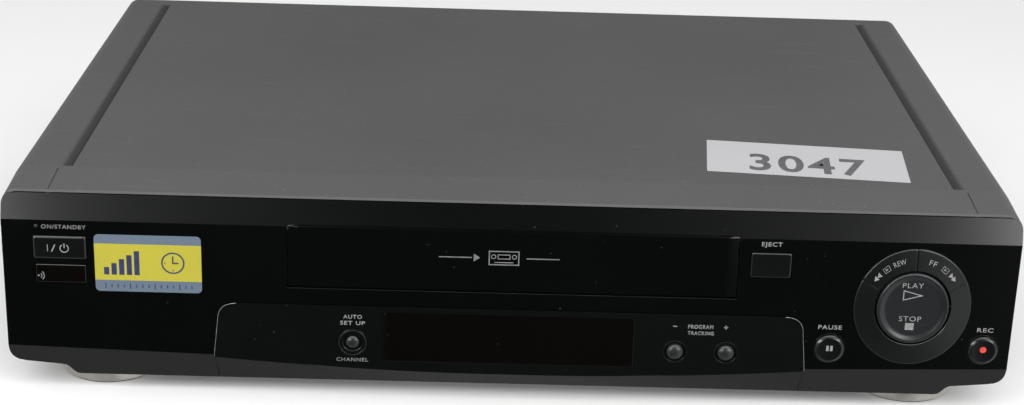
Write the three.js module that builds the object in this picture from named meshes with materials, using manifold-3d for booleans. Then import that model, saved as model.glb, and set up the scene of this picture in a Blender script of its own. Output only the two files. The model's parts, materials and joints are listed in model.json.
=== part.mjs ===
import * as THREE from 'three';
import { mergeVertices } from 'three/addons/utils/BufferGeometryUtils.js';
import Module from 'manifold-3d';

// A full-size video cassette recorder, in millimetres: X to the right, Y to the back, Z up.
// Its pieces are laid out from the flat front face (y = 0) and the floor (z = 0). The whole is
// then shifted so that the origin lies on the floor, under the middle of the machine.

// Overall size, stock thicknesses and the clearance between separate pieces
const width = 430;
const height = 96;
const depth = 287;
const sheet = 1.2;
const wall = 2.5;
const fit = 0.3;
const overrun = 4;
const halfWidth = width / 2;
const weldDistance = 0.0001;

// How far in from the casing's sides, rear and top the pieces near them sit
const fromSide = {
  grooveOuter: 19.8,
  grooveInner: 25,
  slit: 19.5,
  knee: 43,
  raiseStart: 29,
  raiseEnd: 22,
  raiseOuter: 8,
  powerKey: 24.15,
  lamp: 14.5,
  remoteWindow: 13.5,
  frontLabel: 38.5,
  ejectKey: 105.85,
  pauseKey: 77.9,
  ring: 44,
  recordKey: 11.5,
  lotLabel: 84.6,
  keyBoard: 5,
  keyBoss: 8,
  foot: 37.5,
  coverScrew: 65,
  vents: 65,
  powerBoard: 31,
  mainBoard: 33,
  tuner: 39,
};
const fromRear = { groove: 8, foot: 37, boards: 7 };
const fromTop = { panelCrease: 14.2, keyBoard: 8, sideFrame: 10, coverScrew: 7 };

// How many flats stand for a full circle
const facets = { large: 40, medium: 24, small: 16, tiny: 8 };

// Top cover: one folded sheet, lower at the front, with a long pressed groove near each side
const cover = {
  frontY: 3.5,
  creaseY: 26,
  frontDrop: 1.8,
  cornerRadius: 6.5,
  sideBottomZ: 22,
  rearFlange: 12,
};
const groove = { frontY: 26.6, depth: 2.4 };
const slit = { width: 0.5, frontY: 4.3, rearY: 24.6, depth: 0.5 };

// Front panel: a flat face, a band that leans back above it and one that slopes under it
const panel = {
  topY: 3.3,
  middleCreaseZ: 21.3,
  kneeCreaseZ: 22.4,
  endCreaseZ: 23.6,
  bottomY: 6,
  bottomZ: 7.7,
  backY: 16,
};

// The panel's and the base's lower edge rises near both ends
const raisedEnd = {
  startX: halfWidth - fromSide.raiseStart,
  endX: halfWidth - fromSide.raiseEnd,
  endZ: 13,
  outerX: halfWidth - fromSide.raiseOuter,
  outerZ: 14.5,
  cornerRadius: 7,
};

// Cassette flap, hung on two pins near its top edge
const flap = {
  halfWidth: 95.3,
  bottomZ: 53.9,
  topZ: 82.3,
  thickness: 2,
  endBevel: 4.5,
  bevelDepth: 0.9,
  edgeBevel: 0.7,
  barrelRadius: 1.1,
  pivotY: 1.9,
  pivotZ: 80.6,
  pinRadius: 0.8,
  pinLength: 2.7,
};
const flapBearing = { thickness: 3.4, backY: 7.6, below: 3, above: 3 };
const flapSpring = { y: 5.6, studRadius: 1.2, studLength: 6, wire: 0.8, legLength: 10 };

// Control insert: the lower centre of the front, slightly proud of the panel
const insert = {
  proud: 0.6,
  topZ: 46,
  cornerRadius: 8,
  shoulderX: 125.3,
  widestX: 127,
  widestZ: 22,
  bottomX: 125.5,
  creaseMiddleZ: 15.3,
  creaseRise: 5,
  creaseSteps: 6,
  flangeGrow: 3,
  flangeThickness: 1.5,
  flangeFootZ: 26,
};
const displayWindow = {
  leftX: -54.5,
  width: 107.3,
  bottomZ: 20.5,
  topZ: 43,
  thickness: 1.2,
  ledge: 1.8,
  cornerRadius: 1,
};
const displayTube = { halfWidth: 46, halfHeight: 8, depth: 6, capWidth: 3, capDepth: 2 };

// Push buttons, each with a flange behind the wall and a stem towards its switch
const button = { travel: 1.2, flangeGrow: 1.3, flangeThickness: 1.2, stemRadius: 1.8 };
const powerKey = {
  x: fromSide.powerKey - halfWidth,
  z: 69.7,
  halfWidth: 11.15,
  halfHeight: 5.2,
  proud: 1,
  corner: 0.8,
};
const ejectKey = {
  x: halfWidth - fromSide.ejectKey,
  z: 70,
  halfWidth: 8.65,
  halfHeight: 5.7,
  proud: 1,
  corner: 0.8,
};
const pauseKey = { x: halfWidth - fromSide.pauseKey, z: 31.7, radius: 6.4, proud: 1.4 };
const recordKey = { x: halfWidth - fromSide.recordKey, z: 32.7, radius: 6.4, proud: 1.4 };
const setupKey = { x: -67.8, z: 29.2, radius: 3.1, proud: 1.2 };
const programKey = { leftX: 70.6, rightX: 92.6, z: 28.5, radius: 3.65, proud: 1.6 };
const setupCollar = { innerRadius: 4.3, outerRadius: 5.9, height: 0.8 };
const programWell = { radius: 5, depth: 0.8 };

// Transport ring round a rocking disc
const ring = {
  x: halfWidth - fromSide.ring,
  z: 52.2,
  halfWidth: 25.2,
  halfHeight: 27,
  innerHalfWidth: 16.3,
  innerHalfHeight: 17.1,
  proud: 1.6,
  startDegrees: 27,
  middleDegrees: 90,
  endDegrees: 153,
};
const disc = {
  halfWidth: 15.6,
  halfHeight: 16.5,
  proud: 2.2,
  backY: 3,
  pivotY: 1.5,
  pinRadius: 0.8,
  pinReach: 1.6,
  stemZ: 10,
  swing: 0.7,
};

// Small fixed pieces of the front
const remoteWindow = {
  leftX: fromSide.remoteWindow - halfWidth,
  width: 21.2,
  bottomZ: 53.3,
  topZ: 61.6,
  thickness: 1,
  ledge: 1.2,
  cornerRadius: 0.5,
};
const lamp = { x: fromSide.lamp - halfWidth, z: 78.9, radius: 0.9, proud: 0.3, bodyRadius: 1.5, bodyY: 6 };
const frontLabel = {
  leftX: fromSide.frontLabel - halfWidth,
  width: 44.9,
  bottomZ: 50,
  topZ: 76,
  thickness: 0.2,
  corner: 2,
};
const lotLabel = {
  x: halfWidth - fromSide.lotLabel,
  y: 57.6,
  width: 88.7,
  depth: 40,
  thickness: 0.15,
  turnDegrees: -5.3,
};

// Key board behind the front, with one switch behind each button
const keyBoard = {
  frontY: 13,
  thickness: 1.6,
  bottomZ: 12,
  gapHalfWidth: 104,
  gapBottomZ: 50.5,
  bossRadius: 3,
};
const keyBoss = { besideFlap: 13.7, innerZ: 56, outerZ: 52 };
const tactSwitch = { size: 6, depth: 3, plungerRadius: 1.6, plungerLength: 0.8 };

// Feet
const foot = { radius: 22.5, height: 7.4, frontY: 34, bevel: 1.5, dish: 16, dishDepth: 1 };

// Chassis base and rear panel
const base = { lap: 14, postRadius: 4, bossRadius: 3 };
const rear = { slotZ: 58, slotWidth: 3, slotHeight: 26, slotPitch: 7, slotCount: 9 };

// Circuit boards lie on bosses of the base
const board = { bottomZ: 14, thickness: 1.6 };
const boardRearY = depth - fromRear.boards;
const mainBoard = {
  leftX: -62,
  rightX: halfWidth - fromSide.mainBoard,
  frontY: 60,
  rearY: boardRearY,
  bossInset: 10,
};
const powerBoardSize = { width: 72, depth: 130 };
const powerBoard = {
  leftX: fromSide.powerBoard - halfWidth,
  rightX: fromSide.powerBoard - halfWidth + powerBoardSize.width,
  frontY: boardRearY - powerBoardSize.depth,
  rearY: boardRearY,
  bossInset: 8,
};
const chip = { width: 30, depth: 12, height: 3.5 };
const capacitor = { radius: 8, height: 25 };
const heatSink = { width: 40, thickness: 3, height: 35 };
const transformer = {
  sideInset: 29,
  rearInset: 75,
  width: 50,
  depth: 42,
  height: 40,
  coilInset: 7,
  coilBulge: 5,
};

// Rear sockets, standing on the boards and passing through the rear panel
const scart = {
  leftX: -36,
  pitch: 56,
  halfWidth: 25,
  height: 18,
  length: 24,
  proud: 1,
  slotHalfWidth: 21,
  slotHeight: 9,
  slotDepth: 12,
};
const audio = { x: 64, spacing: 15, radius: 4.2, boreRadius: 2.4, z: 32, bodyHeight: 26, bodyDepth: 14 };
const tuner = { width: 64, length: 44, height: 34, socketRadius: 4.6, boreRadius: 2.6 };
const tunerSocket = { z: 36, inset: 18, proud: 3 };
const inlet = {
  sideInset: 18,
  halfWidth: 13,
  height: 16,
  length: 21.5,
  proud: 0.5,
  cavityInset: 2.2,
  cavityDepth: 14,
  pinX: 4.3,
  pinRadius: 1.2,
};

// Deck plate on its posts, and what stands on it
const deck = {
  bottomZ: 28,
  thickness: 1.5,
  halfWidth: 106,
  frontY: 40,
  rearY: 256,
  postInsetX: 14,
  postInsetY: 8,
};
const deckTop = deck.bottomZ + deck.thickness;
const sideFrame = {
  thickness: 1.5,
  frontY: 32,
  rearY: 150,
  noseZ: 50,
  footWidth: 5,
  footFrontY: 44,
};
const basket = {
  innerHalfWidth: 94.2,
  wall: 1.2,
  frontY: 34,
  rearY: 138,
  floorZ: 55.2,
  innerHeight: 26.2,
  railWidth: 16,
  barDepth: 4,
  topFrontY: 60,
  stopWidth: 24,
};
const slider = {
  frontY: 60,
  rearY: 120,
  bottomZ: 60,
  barFrontY: 98,
  barDepth: 16,
  barThickness: 1.6,
  plateThickness: 1.8,
};
const drum = { y: 222, radius: 31, lowerTopZ: 50, topZ: 66, shaftRadius: 3, hubRadius: 9, hubHeight: 5 };
const capstan = {
  x: 52,
  y: 198,
  shaftRadius: 1.5,
  topZ: 60,
  wheelRadius: 26,
  wheelThickness: 9,
  sleeveRadius: 3.5,
  sleeveTopZ: 35,
};
const pinch = {
  pivotX: 76,
  pivotY: 232,
  studRadius: 2.5,
  armWidth: 8,
  armThickness: 2.5,
  rollerX: 71.6,
  rollerY: 197,
  rollerRadius: 6.5,
  rollerBottomZ: 36,
  rollerTopZ: 52,
  shaftRadius: 2,
};
const reel = { x: 46, y: 136, radius: 13, rimHeight: 3.2, hubRadius: 4, topZ: 46, studRadius: 2 };
const reelTooth = { count: 6, width: 1.2, reach: 1.2, bottomZ: 38 };
const guidePost = { leftX: -52, rightX: 28, y: 194, radius: 3, flangeRadius: 4.2, height: 22, flange: 2 };
const motor = { x: -78, y: 232, radius: 11, length: 34, saddle: 4, shaftRadius: 1.5, shaftLength: 8 };
const screw = {
  headRadius: 3.4,
  headHeight: 1.8,
  shankRadius: 1.3,
  shankLength: 7,
  slotWidth: 1,
  slotDepth: 0.8,
};
const coverScrew = { x: halfWidth - fromSide.coverScrew, z: height - fromTop.coverScrew };

// Finishes
const finish = (colour, roughness, metalness) =>
  new THREE.MeshStandardMaterial({ color: colour, roughness, metalness });
const paintedSteel = finish(0x4f5154, 0.55, 0.3);
const blackGloss = finish(0x0d0e10, 0.2, 0);
const blackSatin = finish(0x17191b, 0.42, 0);
const smokedClear = finish(0x120c0a, 0.12, 0);
const silverRubber = finish(0xa9a49a, 0.4, 0.5);
const paper = finish(0xe9e9e6, 0.8, 0);
const yellowPaper = finish(0xe2c531, 0.6, 0);
const lampRed = finish(0x7a1512, 0.3, 0);
const plated = finish(0xb8babd, 0.35, 0.9);
const boardGreen = finish(0x2d5a37, 0.6, 0);
const glass = finish(0x3a4a48, 0.15, 0);
const darkPlastic = finish(0x26282b, 0.5, 0);
const alloy = finish(0xc9cacc, 0.25, 0.95);
const rubber = finish(0x2a2a2a, 0.8, 0);

const wasm = await Module();
wasm.setup();

// Turns a closed three.js geometry into a solid that can be joined and cut
function solid(geometry) {
  geometry.deleteAttribute('normal');
  geometry.deleteAttribute('uv');
  const welded = mergeVertices(geometry, weldDistance);
  const corners = welded.index.array;
  const triangles = [];
  for (let i = 0; i < corners.length; i += 3) {
    const [a, b, c] = [corners[i], corners[i + 1], corners[i + 2]];
    if (a !== b && b !== c && c !== a) triangles.push(a, b, c);
  }
  const vertProperties = new Float32Array(welded.attributes.position.array);
  const triVerts = new Uint32Array(triangles);
  return new wasm.Manifold(new wasm.Mesh({ numProp: 3, vertProperties, triVerts }));
}

// Makes a named mesh of a solid, placed at a point
function piece(name, body, material, x = 0, y = 0, z = 0) {
  const { vertProperties, triVerts } = body.getMesh();
  const geometry = new THREE.BufferGeometry();
  geometry.setAttribute('position', new THREE.BufferAttribute(vertProperties, 3));
  geometry.setIndex(new THREE.BufferAttribute(triVerts, 1));
  geometry.computeVertexNormals();
  const mesh = new THREE.Mesh(geometry, material);
  mesh.name = name;
  mesh.position.set(x, y, z);
  return mesh;
}

// A block between two corners
function block(x0, x1, y0, y1, z0, z1) {
  const geometry = new THREE.BoxGeometry(x1 - x0, y1 - y0, z1 - z0);
  geometry.translate((x0 + x1) / 2, (y0 + y1) / 2, (z0 + z1) / 2);
  return solid(geometry);
}

// A prism that runs along Z, with its outline drawn in X and Y
function prismZ(shape, z0, z1, flats = facets.small) {
  const options = { depth: z1 - z0, bevelEnabled: false, curveSegments: flats / 4 };
  return solid(new THREE.ExtrudeGeometry(shape, options).translate(0, 0, z0));
}

// A prism that runs along Y, with its outline drawn in X and Z
function prismY(shape, y0, y1, flats = facets.small) {
  const options = { depth: y1 - y0, bevelEnabled: false, curveSegments: flats / 4 };
  const geometry = new THREE.ExtrudeGeometry(shape, options);
  return solid(geometry.rotateX(Math.PI / 2).translate(0, y1, 0));
}

// Round bars along each axis, centred on the other two places given
function rodZ(radius, x, y, z0, z1, flats = facets.small) {
  const geometry = new THREE.CylinderGeometry(radius, radius, z1 - z0, flats);
  return solid(geometry.rotateX(Math.PI / 2).translate(x, y, (z0 + z1) / 2));
}

function rodY(radius, x, z, y0, y1, flats = facets.small) {
  const geometry = new THREE.CylinderGeometry(radius, radius, y1 - y0, flats);
  return solid(geometry.translate(x, (y0 + y1) / 2, z));
}

function rodX(radius, y, z, x0, x1, flats = facets.small) {
  const geometry = new THREE.CylinderGeometry(radius, radius, x1 - x0, flats);
  return solid(geometry.rotateZ(Math.PI / 2).translate((x0 + x1) / 2, y, z));
}

// A body of revolution about the Z axis. The profile gives radius and height, bottom first.
function turned(profile, flats = facets.medium) {
  const points = profile.map(([radius, z]) => new THREE.Vector2(radius, z));
  return solid(new THREE.LatheGeometry(points, flats).rotateX(Math.PI / 2));
}

function join(first, ...others) {
  return others.reduce((whole, other) => whole.add(other), first);
}

function cut(first, ...others) {
  return others.reduce((whole, other) => whole.subtract(other), first);
}

function roundedRect(x0, x1, z0, z1, radius) {
  const shape = new THREE.Shape();
  shape.moveTo(x0 + radius, z0);
  shape.lineTo(x1 - radius, z0);
  shape.absarc(x1 - radius, z0 + radius, radius, -Math.PI / 2, 0);
  shape.lineTo(x1, z1 - radius);
  shape.absarc(x1 - radius, z1 - radius, radius, 0, Math.PI / 2);
  shape.lineTo(x0 + radius, z1);
  shape.absarc(x0 + radius, z1 - radius, radius, Math.PI / 2, Math.PI);
  shape.lineTo(x0, z0 + radius);
  shape.absarc(x0 + radius, z0 + radius, radius, Math.PI, 1.5 * Math.PI);
  return shape;
}

function ellipse(halfAcross, halfUp) {
  const shape = new THREE.Shape();
  shape.absellipse(0, 0, halfAcross, halfUp, 0, 2 * Math.PI);
  return shape;
}

function polygon(points) {
  return new THREE.Shape(points.map(([a, b]) => new THREE.Vector2(a, b)));
}

// Moves an open line of points sideways by a distance, to its left, with mitred corners
function offsetLine(points, distance) {
  const normals = [];
  for (let i = 0; i < points.length - 1; i += 1) {
    const run = points[i + 1][0] - points[i][0];
    const rise = points[i + 1][1] - points[i][1];
    const length = Math.hypot(run, rise);
    normals.push([-rise / length, run / length]);
  }
  return points.map(([a, b], i) => {
    const before = normals[Math.max(i - 1, 0)];
    const after = normals[Math.min(i, normals.length - 1)];
    const square = 1 + before[0] * after[0] + before[1] * after[1];
    const share = distance / square;
    return [a + (before[0] + after[0]) * share, b + (before[1] + after[1]) * share];
  });
}

// An open line of points given a thickness on its left, as a closed outline
function strip(points, thickness) {
  return [...points, ...offsetLine(points, thickness).reverse()];
}

// Points of an arc, in degrees, for an outline that is given as points
function arcPoints(x, z, radius, startDegrees, endDegrees, steps) {
  return Array.from({ length: steps + 1 }, (_, i) => {
    const angle = THREE.MathUtils.degToRad(startDegrees + ((endDegrees - startDegrees) * i) / steps);
    return [x + radius * Math.cos(angle), z + radius * Math.sin(angle)];
  });
}

// A skin through equal outlines at several stations. Along X an outline is drawn in Y and Z,
// along Y it is drawn in X and Z. Outlines run anticlockwise.
function loft(axis, stations, outlineAt) {
  const rings = stations.map(outlineAt);
  const count = rings[0].length;
  const place = axis === 'x' ? (s, a, b) => [s, a, b] : (s, a, b) => [a, s, b];
  const placeRing = (points, i) => points.flatMap(([a, b]) => place(stations[i], a, b));
  const positions = rings.flatMap(placeRing);
  const triangles = [];
  const face = (a, b, c) => (axis === 'x' ? triangles.push(a, b, c) : triangles.push(a, c, b));
  for (let i = 0; i < stations.length - 1; i += 1) {
    for (let j = 0; j < count; j += 1) {
      const here = i * count + j;
      const next = i * count + ((j + 1) % count);
      face(here, next, next + count);
      face(here, next + count, here + count);
    }
  }
  const contour = rings[0].map(([a, b]) => new THREE.Vector2(a, b));
  const last = (stations.length - 1) * count;
  for (const [a, b, c] of THREE.ShapeUtils.triangulateShape(contour, [])) {
    face(a, c, b);
    face(last + a, last + b, last + c);
  }
  const geometry = new THREE.BufferGeometry();
  geometry.setAttribute('position', new THREE.Float32BufferAttribute(positions, 3));
  geometry.setIndex(triangles);
  return solid(geometry);
}

// Reads a value between given places, along a line from point to point
function between(place, table) {
  const after = Math.max(1, table.findIndex(([at]) => at >= place));
  const [startAt, startValue] = table[after - 1];
  const [endAt, endValue] = table[after];
  return startValue + ((endValue - startValue) * (place - startAt)) / (endAt - startAt);
}

// The casing's outline across the machine, from the right side's foot over the top to the left's
function coverLine(topZ) {
  const cornerX = halfWidth - cover.cornerRadius;
  const cornerZ = topZ - cover.cornerRadius;
  const steps = facets.small / 4;
  return [
    [halfWidth, cover.sideBottomZ],
    ...arcPoints(cornerX, cornerZ, cover.cornerRadius, 0, 90, steps),
    ...arcPoints(-cornerX, cornerZ, cover.cornerRadius, 90, 180, steps),
    [-halfWidth, cover.sideBottomZ],
  ];
}

function makeTopCover() {
  const frontTop = height - cover.frontDrop;
  const heights = [[cover.frontY, frontTop], [cover.creaseY, height], [depth, height]];
  const stations = heights.map(([y]) => y);
  let shell = loft('y', stations, (y) => strip(coverLine(between(y, heights)), sheet));
  const flangeFrontY = depth - sheet;
  const flangeHalfWidth = halfWidth - cover.cornerRadius;
  shell = join(
    shell,
    block(-flangeHalfWidth, flangeHalfWidth, flangeFrontY, depth, height - cover.rearFlange, height),
  );
  const outerX = halfWidth - fromSide.grooveOuter;
  const innerX = halfWidth - fromSide.grooveInner;
  const grooveRearY = depth - fromRear.groove;
  for (const side of [-1, 1]) {
    const trough = [
      [side * outerX, height],
      [side * innerX, height - groove.depth],
      [side * innerX, height],
    ];
    const under = trough.map(([x, z]) => [x, z - sheet]);
    const backing = under.map(([x]) => [x, height - sheet / 2]);
    const keel = [under[0], under[1], backing[2], backing[0]];
    const opened = [trough[0], trough[1], trough[2], [side * innerX, height + overrun]];
    const lifted = [opened[0], opened[1], opened[3], [side * outerX, height + overrun]];
    shell = join(shell, prismY(polygon(keel), groove.frontY, grooveRearY));
    shell = cut(shell, prismY(polygon(lifted), groove.frontY, grooveRearY));
    const slitX = side * (halfWidth - fromSide.slit) - slit.width / 2;
    const slitTop = block(slitX, slitX + slit.width, slit.frontY, slit.rearY, frontTop - slit.depth, height);
    shell = cut(shell, slitTop);
  }
  for (const x of [-coverScrew.x, 0, coverScrew.x]) {
    const hole = rodY(screw.shankRadius + fit, x, coverScrew.z, flangeFrontY - overrun, depth + overrun);
    shell = cut(shell, hole);
  }
  return piece('top_cover', shell, paintedSteel);
}

// The front panel's outline seen from the front, moved inward by one distance at its sides and
// top and by another along its lower edge
function frontOutline(inset, lowerInset) {
  const side = halfWidth - inset;
  const radius = cover.cornerRadius - inset;
  const top = height - cover.frontDrop - inset;
  const end = raisedEnd;
  const floorZ = panel.bottomZ + lowerInset;
  const endZ = end.endZ + lowerInset;
  const outerZ = end.outerZ + lowerInset;
  const bendX = (end.startX + end.endX) / 2;
  const shape = new THREE.Shape();
  shape.moveTo(-end.startX, floorZ);
  shape.lineTo(end.startX, floorZ);
  shape.bezierCurveTo(bendX, floorZ, bendX, endZ, end.endX, endZ);
  shape.lineTo(end.outerX, outerZ);
  shape.quadraticCurveTo(side, outerZ, side, outerZ + end.cornerRadius);
  shape.lineTo(side, top - radius);
  shape.absarc(side - radius, top - radius, radius, 0, Math.PI / 2);
  shape.lineTo(radius - side, top);
  shape.absarc(radius - side, top - radius, radius, Math.PI / 2, Math.PI);
  shape.lineTo(-side, outerZ + end.cornerRadius);
  shape.quadraticCurveTo(-side, outerZ, -end.outerX, outerZ);
  shape.lineTo(-end.endX, endZ);
  shape.bezierCurveTo(-bendX, endZ, -bendX, floorZ, -end.startX, floorZ);
  return shape;
}

// Height of the crease between the flat face and the lower band, at a distance from the middle
function panelCrease(x) {
  const places = [
    [0, panel.middleCreaseZ],
    [insert.widestX, panel.middleCreaseZ],
    [halfWidth - fromSide.knee, panel.kneeCreaseZ],
    [halfWidth, panel.endCreaseZ],
  ];
  return between(Math.abs(x), places);
}

// The panel's skin from the lip over the face to the bottom lip, drawn in Y and Z
function panelLine(x) {
  const lipZ = height - cover.frontDrop - sheet - fit;
  return [
    [panel.backY, lipZ],
    [panel.topY, lipZ],
    [0, height - fromTop.panelCrease],
    [0, panelCrease(x)],
    [panel.bottomY, panel.bottomZ],
    [panel.backY, panel.bottomZ],
  ];
}

function insertShape(grow) {
  const top = insert.topZ + grow;
  const radius = insert.cornerRadius;
  const shoulder = insert.shoulderX + grow;
  const shape = new THREE.Shape();
  shape.moveTo(insert.bottomX + grow, panel.bottomZ - grow);
  shape.lineTo(insert.widestX + grow, insert.widestZ);
  shape.lineTo(shoulder, top - radius);
  shape.quadraticCurveTo(shoulder, top, shoulder - radius, top);
  shape.lineTo(radius - shoulder, top);
  shape.quadraticCurveTo(-shoulder, top, -shoulder, top - radius);
  shape.lineTo(-insert.widestX - grow, insert.widestZ);
  shape.lineTo(-insert.bottomX - grow, panel.bottomZ - grow);
  return shape;
}

// The outlines of the round and square buttons, grown by a distance
function roundKey(spec) {
  return (grow) => ellipse(spec.radius + grow, spec.radius + grow);
}

function squareKey(spec) {
  return (grow) => {
    const across = spec.halfWidth + grow;
    const up = spec.halfHeight + grow;
    return roundedRect(-across, across, -up, up, spec.corner + Math.max(grow, 0));
  };
}

function keyHole(shapeAt, spec, frontY, backY) {
  const hole = prismY(shapeAt(fit), frontY - overrun, backY + overrun, facets.medium);
  return hole.translate([spec.x, 0, spec.z]);
}

function bearingBlock(side) {
  const start = flap.halfWidth + fit;
  const end = start + flapBearing.thickness;
  const [x0, x1] = side > 0 ? [start, end] : [-end, -start];
  const low = flap.pivotZ - flapBearing.below;
  const high = flap.pivotZ + flapBearing.above;
  return block(x0, x1, wall / 2, flapBearing.backY, low, high);
}

function makeFrontPanel() {
  const ends = [halfWidth, halfWidth - fromSide.knee, insert.widestX];
  const stations = [...ends.map((x) => -x), 0, ...[...ends].reverse()];
  const innerEnd = halfWidth - wall;
  const innerStations = stations.map((x) => THREE.MathUtils.clamp(x, -innerEnd, innerEnd));
  let shell = loft('x', stations, (x) => panelLine(x));
  const hollow = loft('x', innerStations, (x) => {
    const inner = offsetLine(panelLine(x), wall);
    const last = inner.length - 1;
    inner[0][0] += overrun;
    inner[last][0] += overrun;
    return inner;
  });
  const endWalls = prismY(frontOutline(wall, wall), -overrun, panel.backY + 2 * overrun, facets.medium);
  shell = cut(shell, hollow.intersect(endWalls));
  shell = shell.intersect(prismY(frontOutline(0, 0), -overrun, panel.backY + overrun, facets.medium));
  const rimY = cover.frontY - fit;
  const reach = halfWidth + overrun;
  const outside = block(-reach, reach, rimY, panel.backY + overrun, -overrun, height + overrun);
  const lip = frontOutline(sheet + fit, 0);
  shell = cut(shell, cut(outside, prismY(lip, -overrun, panel.backY + 2 * overrun, facets.medium)));
  for (const side of [-1, 1]) shell = join(shell, bearingBlock(side));
  const gapX = flap.halfWidth + fit;
  const mouthTop = flap.topZ + fit;
  shell = cut(shell, block(-gapX, gapX, -overrun, panel.backY, flap.bottomZ - fit, mouthTop));
  const holeEnd = flap.halfWidth + flap.pinLength + fit;
  shell = cut(shell, rodX(flap.pinRadius + fit, flap.pivotY, flap.pivotZ, -holeEnd, holeEnd));
  const studStart = flap.halfWidth + fit + flapBearing.thickness / 2;
  const studEnd = flap.halfWidth + fit + flapBearing.thickness + flapSpring.studLength;
  shell = join(shell, rodX(flapSpring.studRadius, flapSpring.y, flap.pivotZ, -studEnd, -studStart));
  const insertBackY = panel.bottomY + wall;
  shell = cut(shell, prismY(insertShape(fit), -overrun, insertBackY, facets.medium));
  shell = cut(
    shell,
    keyHole(squareKey(powerKey), powerKey, 0, wall),
    keyHole(squareKey(ejectKey), ejectKey, 0, wall),
    keyHole(roundKey(pauseKey), pauseKey, 0, wall),
    keyHole(roundKey(recordKey), recordKey, 0, wall),
    rodY(lamp.radius + fit, lamp.x, lamp.z, -overrun, wall + overrun, facets.tiny),
  );
  const ringShape = ellipse(ring.halfWidth + fit, ring.halfHeight + fit);
  const ringHole = prismY(ringShape, -overrun, wall + overrun, facets.large);
  shell = cut(shell, ringHole.translate([ring.x, 0, ring.z]));
  shell = cut(shell, windowPocket(remoteWindow, 0, wall));
  for (const side of [-1, 1]) {
    const innerBossX = flap.halfWidth + keyBoss.besideFlap;
    const outerBossX = halfWidth - fromSide.keyBoss;
    for (const [x, z] of [[innerBossX, keyBoss.innerZ], [outerBossX, keyBoss.outerZ]]) {
      shell = join(shell, rodY(keyBoard.bossRadius, side * x, z, wall / 2, keyBoard.frontY));
    }
  }
  return piece('front_panel', shell, blackGloss);
}

// The pocket that a flat window lies in, with a smaller hole behind it
function windowPocket(spec, frontY, backY) {
  const pocketY = frontY + spec.thickness + fit;
  const grown = roundedRect(
    spec.leftX - fit,
    spec.leftX + spec.width + fit,
    spec.bottomZ - fit,
    spec.topZ + fit,
    spec.cornerRadius,
  );
  const small = roundedRect(
    spec.leftX + spec.ledge,
    spec.leftX + spec.width - spec.ledge,
    spec.bottomZ + spec.ledge,
    spec.topZ - spec.ledge,
    spec.cornerRadius,
  );
  return join(prismY(grown, frontY - overrun, pocketY), prismY(small, frontY, backY + overrun));
}

function makeWindow(name, spec, frontY, material) {
  const { leftX, bottomZ, topZ, cornerRadius } = spec;
  const shape = roundedRect(leftX, leftX + spec.width, bottomZ, topZ, cornerRadius);
  return piece(name, prismY(shape, frontY, frontY + spec.thickness), material);
}

function makeInsert() {
  const face = -insert.proud;
  const halfSteps = insert.creaseSteps;
  const stepWidth = (insert.widestX + overrun) / halfSteps;
  const stations = Array.from({ length: 2 * halfSteps + 1 }, (_, i) => (i - halfSteps) * stepWidth);
  const skinLine = (x) => [
    [face, insert.topZ + overrun],
    [face, insert.creaseMiddleZ + insert.creaseRise * (x / insert.bottomX) ** 2],
    [panel.bottomY, panel.bottomZ],
  ];
  let skin = loft('x', stations, (x) => {
    const outer = skinLine(x);
    const inner = offsetLine(outer, wall).reverse();
    inner[0] = [panel.bottomY + wall - fit, panel.bottomZ];
    return [...outer, ...inner];
  });
  skin = skin.intersect(prismY(insertShape(0), -2 * overrun, panel.backY, facets.medium));
  const back = face + wall;
  const flangeY = wall + fit;
  const flangeBack = flangeY + insert.flangeThickness;
  const bandWidth = insert.flangeGrow;
  const hollow = prismY(insertShape(-bandWidth), 0, panel.backY, facets.medium);
  let flange = prismY(insertShape(bandWidth), flangeY, flangeBack, facets.medium);
  flange = join(flange, prismY(insertShape(0), back - fit, flangeBack, facets.medium));
  flange = cut(flange, hollow);
  const reach = insert.widestX + 2 * overrun;
  const foot = block(-reach, reach, 0, panel.backY, insert.flangeFootZ, insert.topZ + 2 * overrun);
  skin = join(skin, flange.intersect(foot));
  const collarSpec = { x: setupKey.x, z: setupKey.z };
  const { x: setupX, z: setupZ } = setupKey;
  const collarY = face - setupCollar.height;
  const collar = rodY(setupCollar.outerRadius, setupX, setupZ, collarY, back - fit, facets.medium);
  const boreRadius = setupCollar.innerRadius;
  const collarBore = rodY(boreRadius, setupX, setupZ, face - overrun, face + fit, facets.medium);
  skin = cut(join(skin, collar), collarBore, keyHole(roundKey(setupKey), collarSpec, face, back));
  for (const x of [programKey.leftX, programKey.rightX]) {
    const wellY = face + programWell.depth;
    const well = rodY(programWell.radius, x, programKey.z, face - overrun, wellY, facets.medium);
    skin = cut(skin, well, keyHole(roundKey(programKey), { x, z: programKey.z }, face, back));
  }
  skin = cut(skin, windowPocket(displayWindow, face, back));
  return piece('control_insert', skin, blackSatin);
}

function makeFlap() {
  const bevelStart = flap.halfWidth - flap.endBevel;
  const places = [
    [-flap.halfWidth, flap.bevelDepth],
    [-bevelStart, 0],
    [bevelStart, 0],
    [flap.halfWidth, flap.bevelDepth],
  ];
  const lipTop = flap.topZ - flap.edgeBevel;
  const lipBottom = flap.bottomZ + flap.edgeBevel;
  const body = loft('x', places.map(([x]) => x), (x) => {
    const front = between(x, places);
    return [
      [front + flap.edgeBevel, flap.bottomZ],
      [flap.thickness, flap.bottomZ],
      [flap.thickness, flap.topZ],
      [front + flap.edgeBevel, flap.topZ],
      [front, lipTop],
      [front, lipBottom],
    ];
  });
  const barrel = rodX(flap.barrelRadius, flap.pivotY, flap.pivotZ, -flap.halfWidth, flap.halfWidth);
  const pinEnd = flap.halfWidth + flap.pinLength;
  const pins = rodX(flap.pinRadius, flap.pivotY, flap.pivotZ, -pinEnd, pinEnd);
  return piece('cassette_door', join(body, barrel, pins), blackGloss);
}

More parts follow.
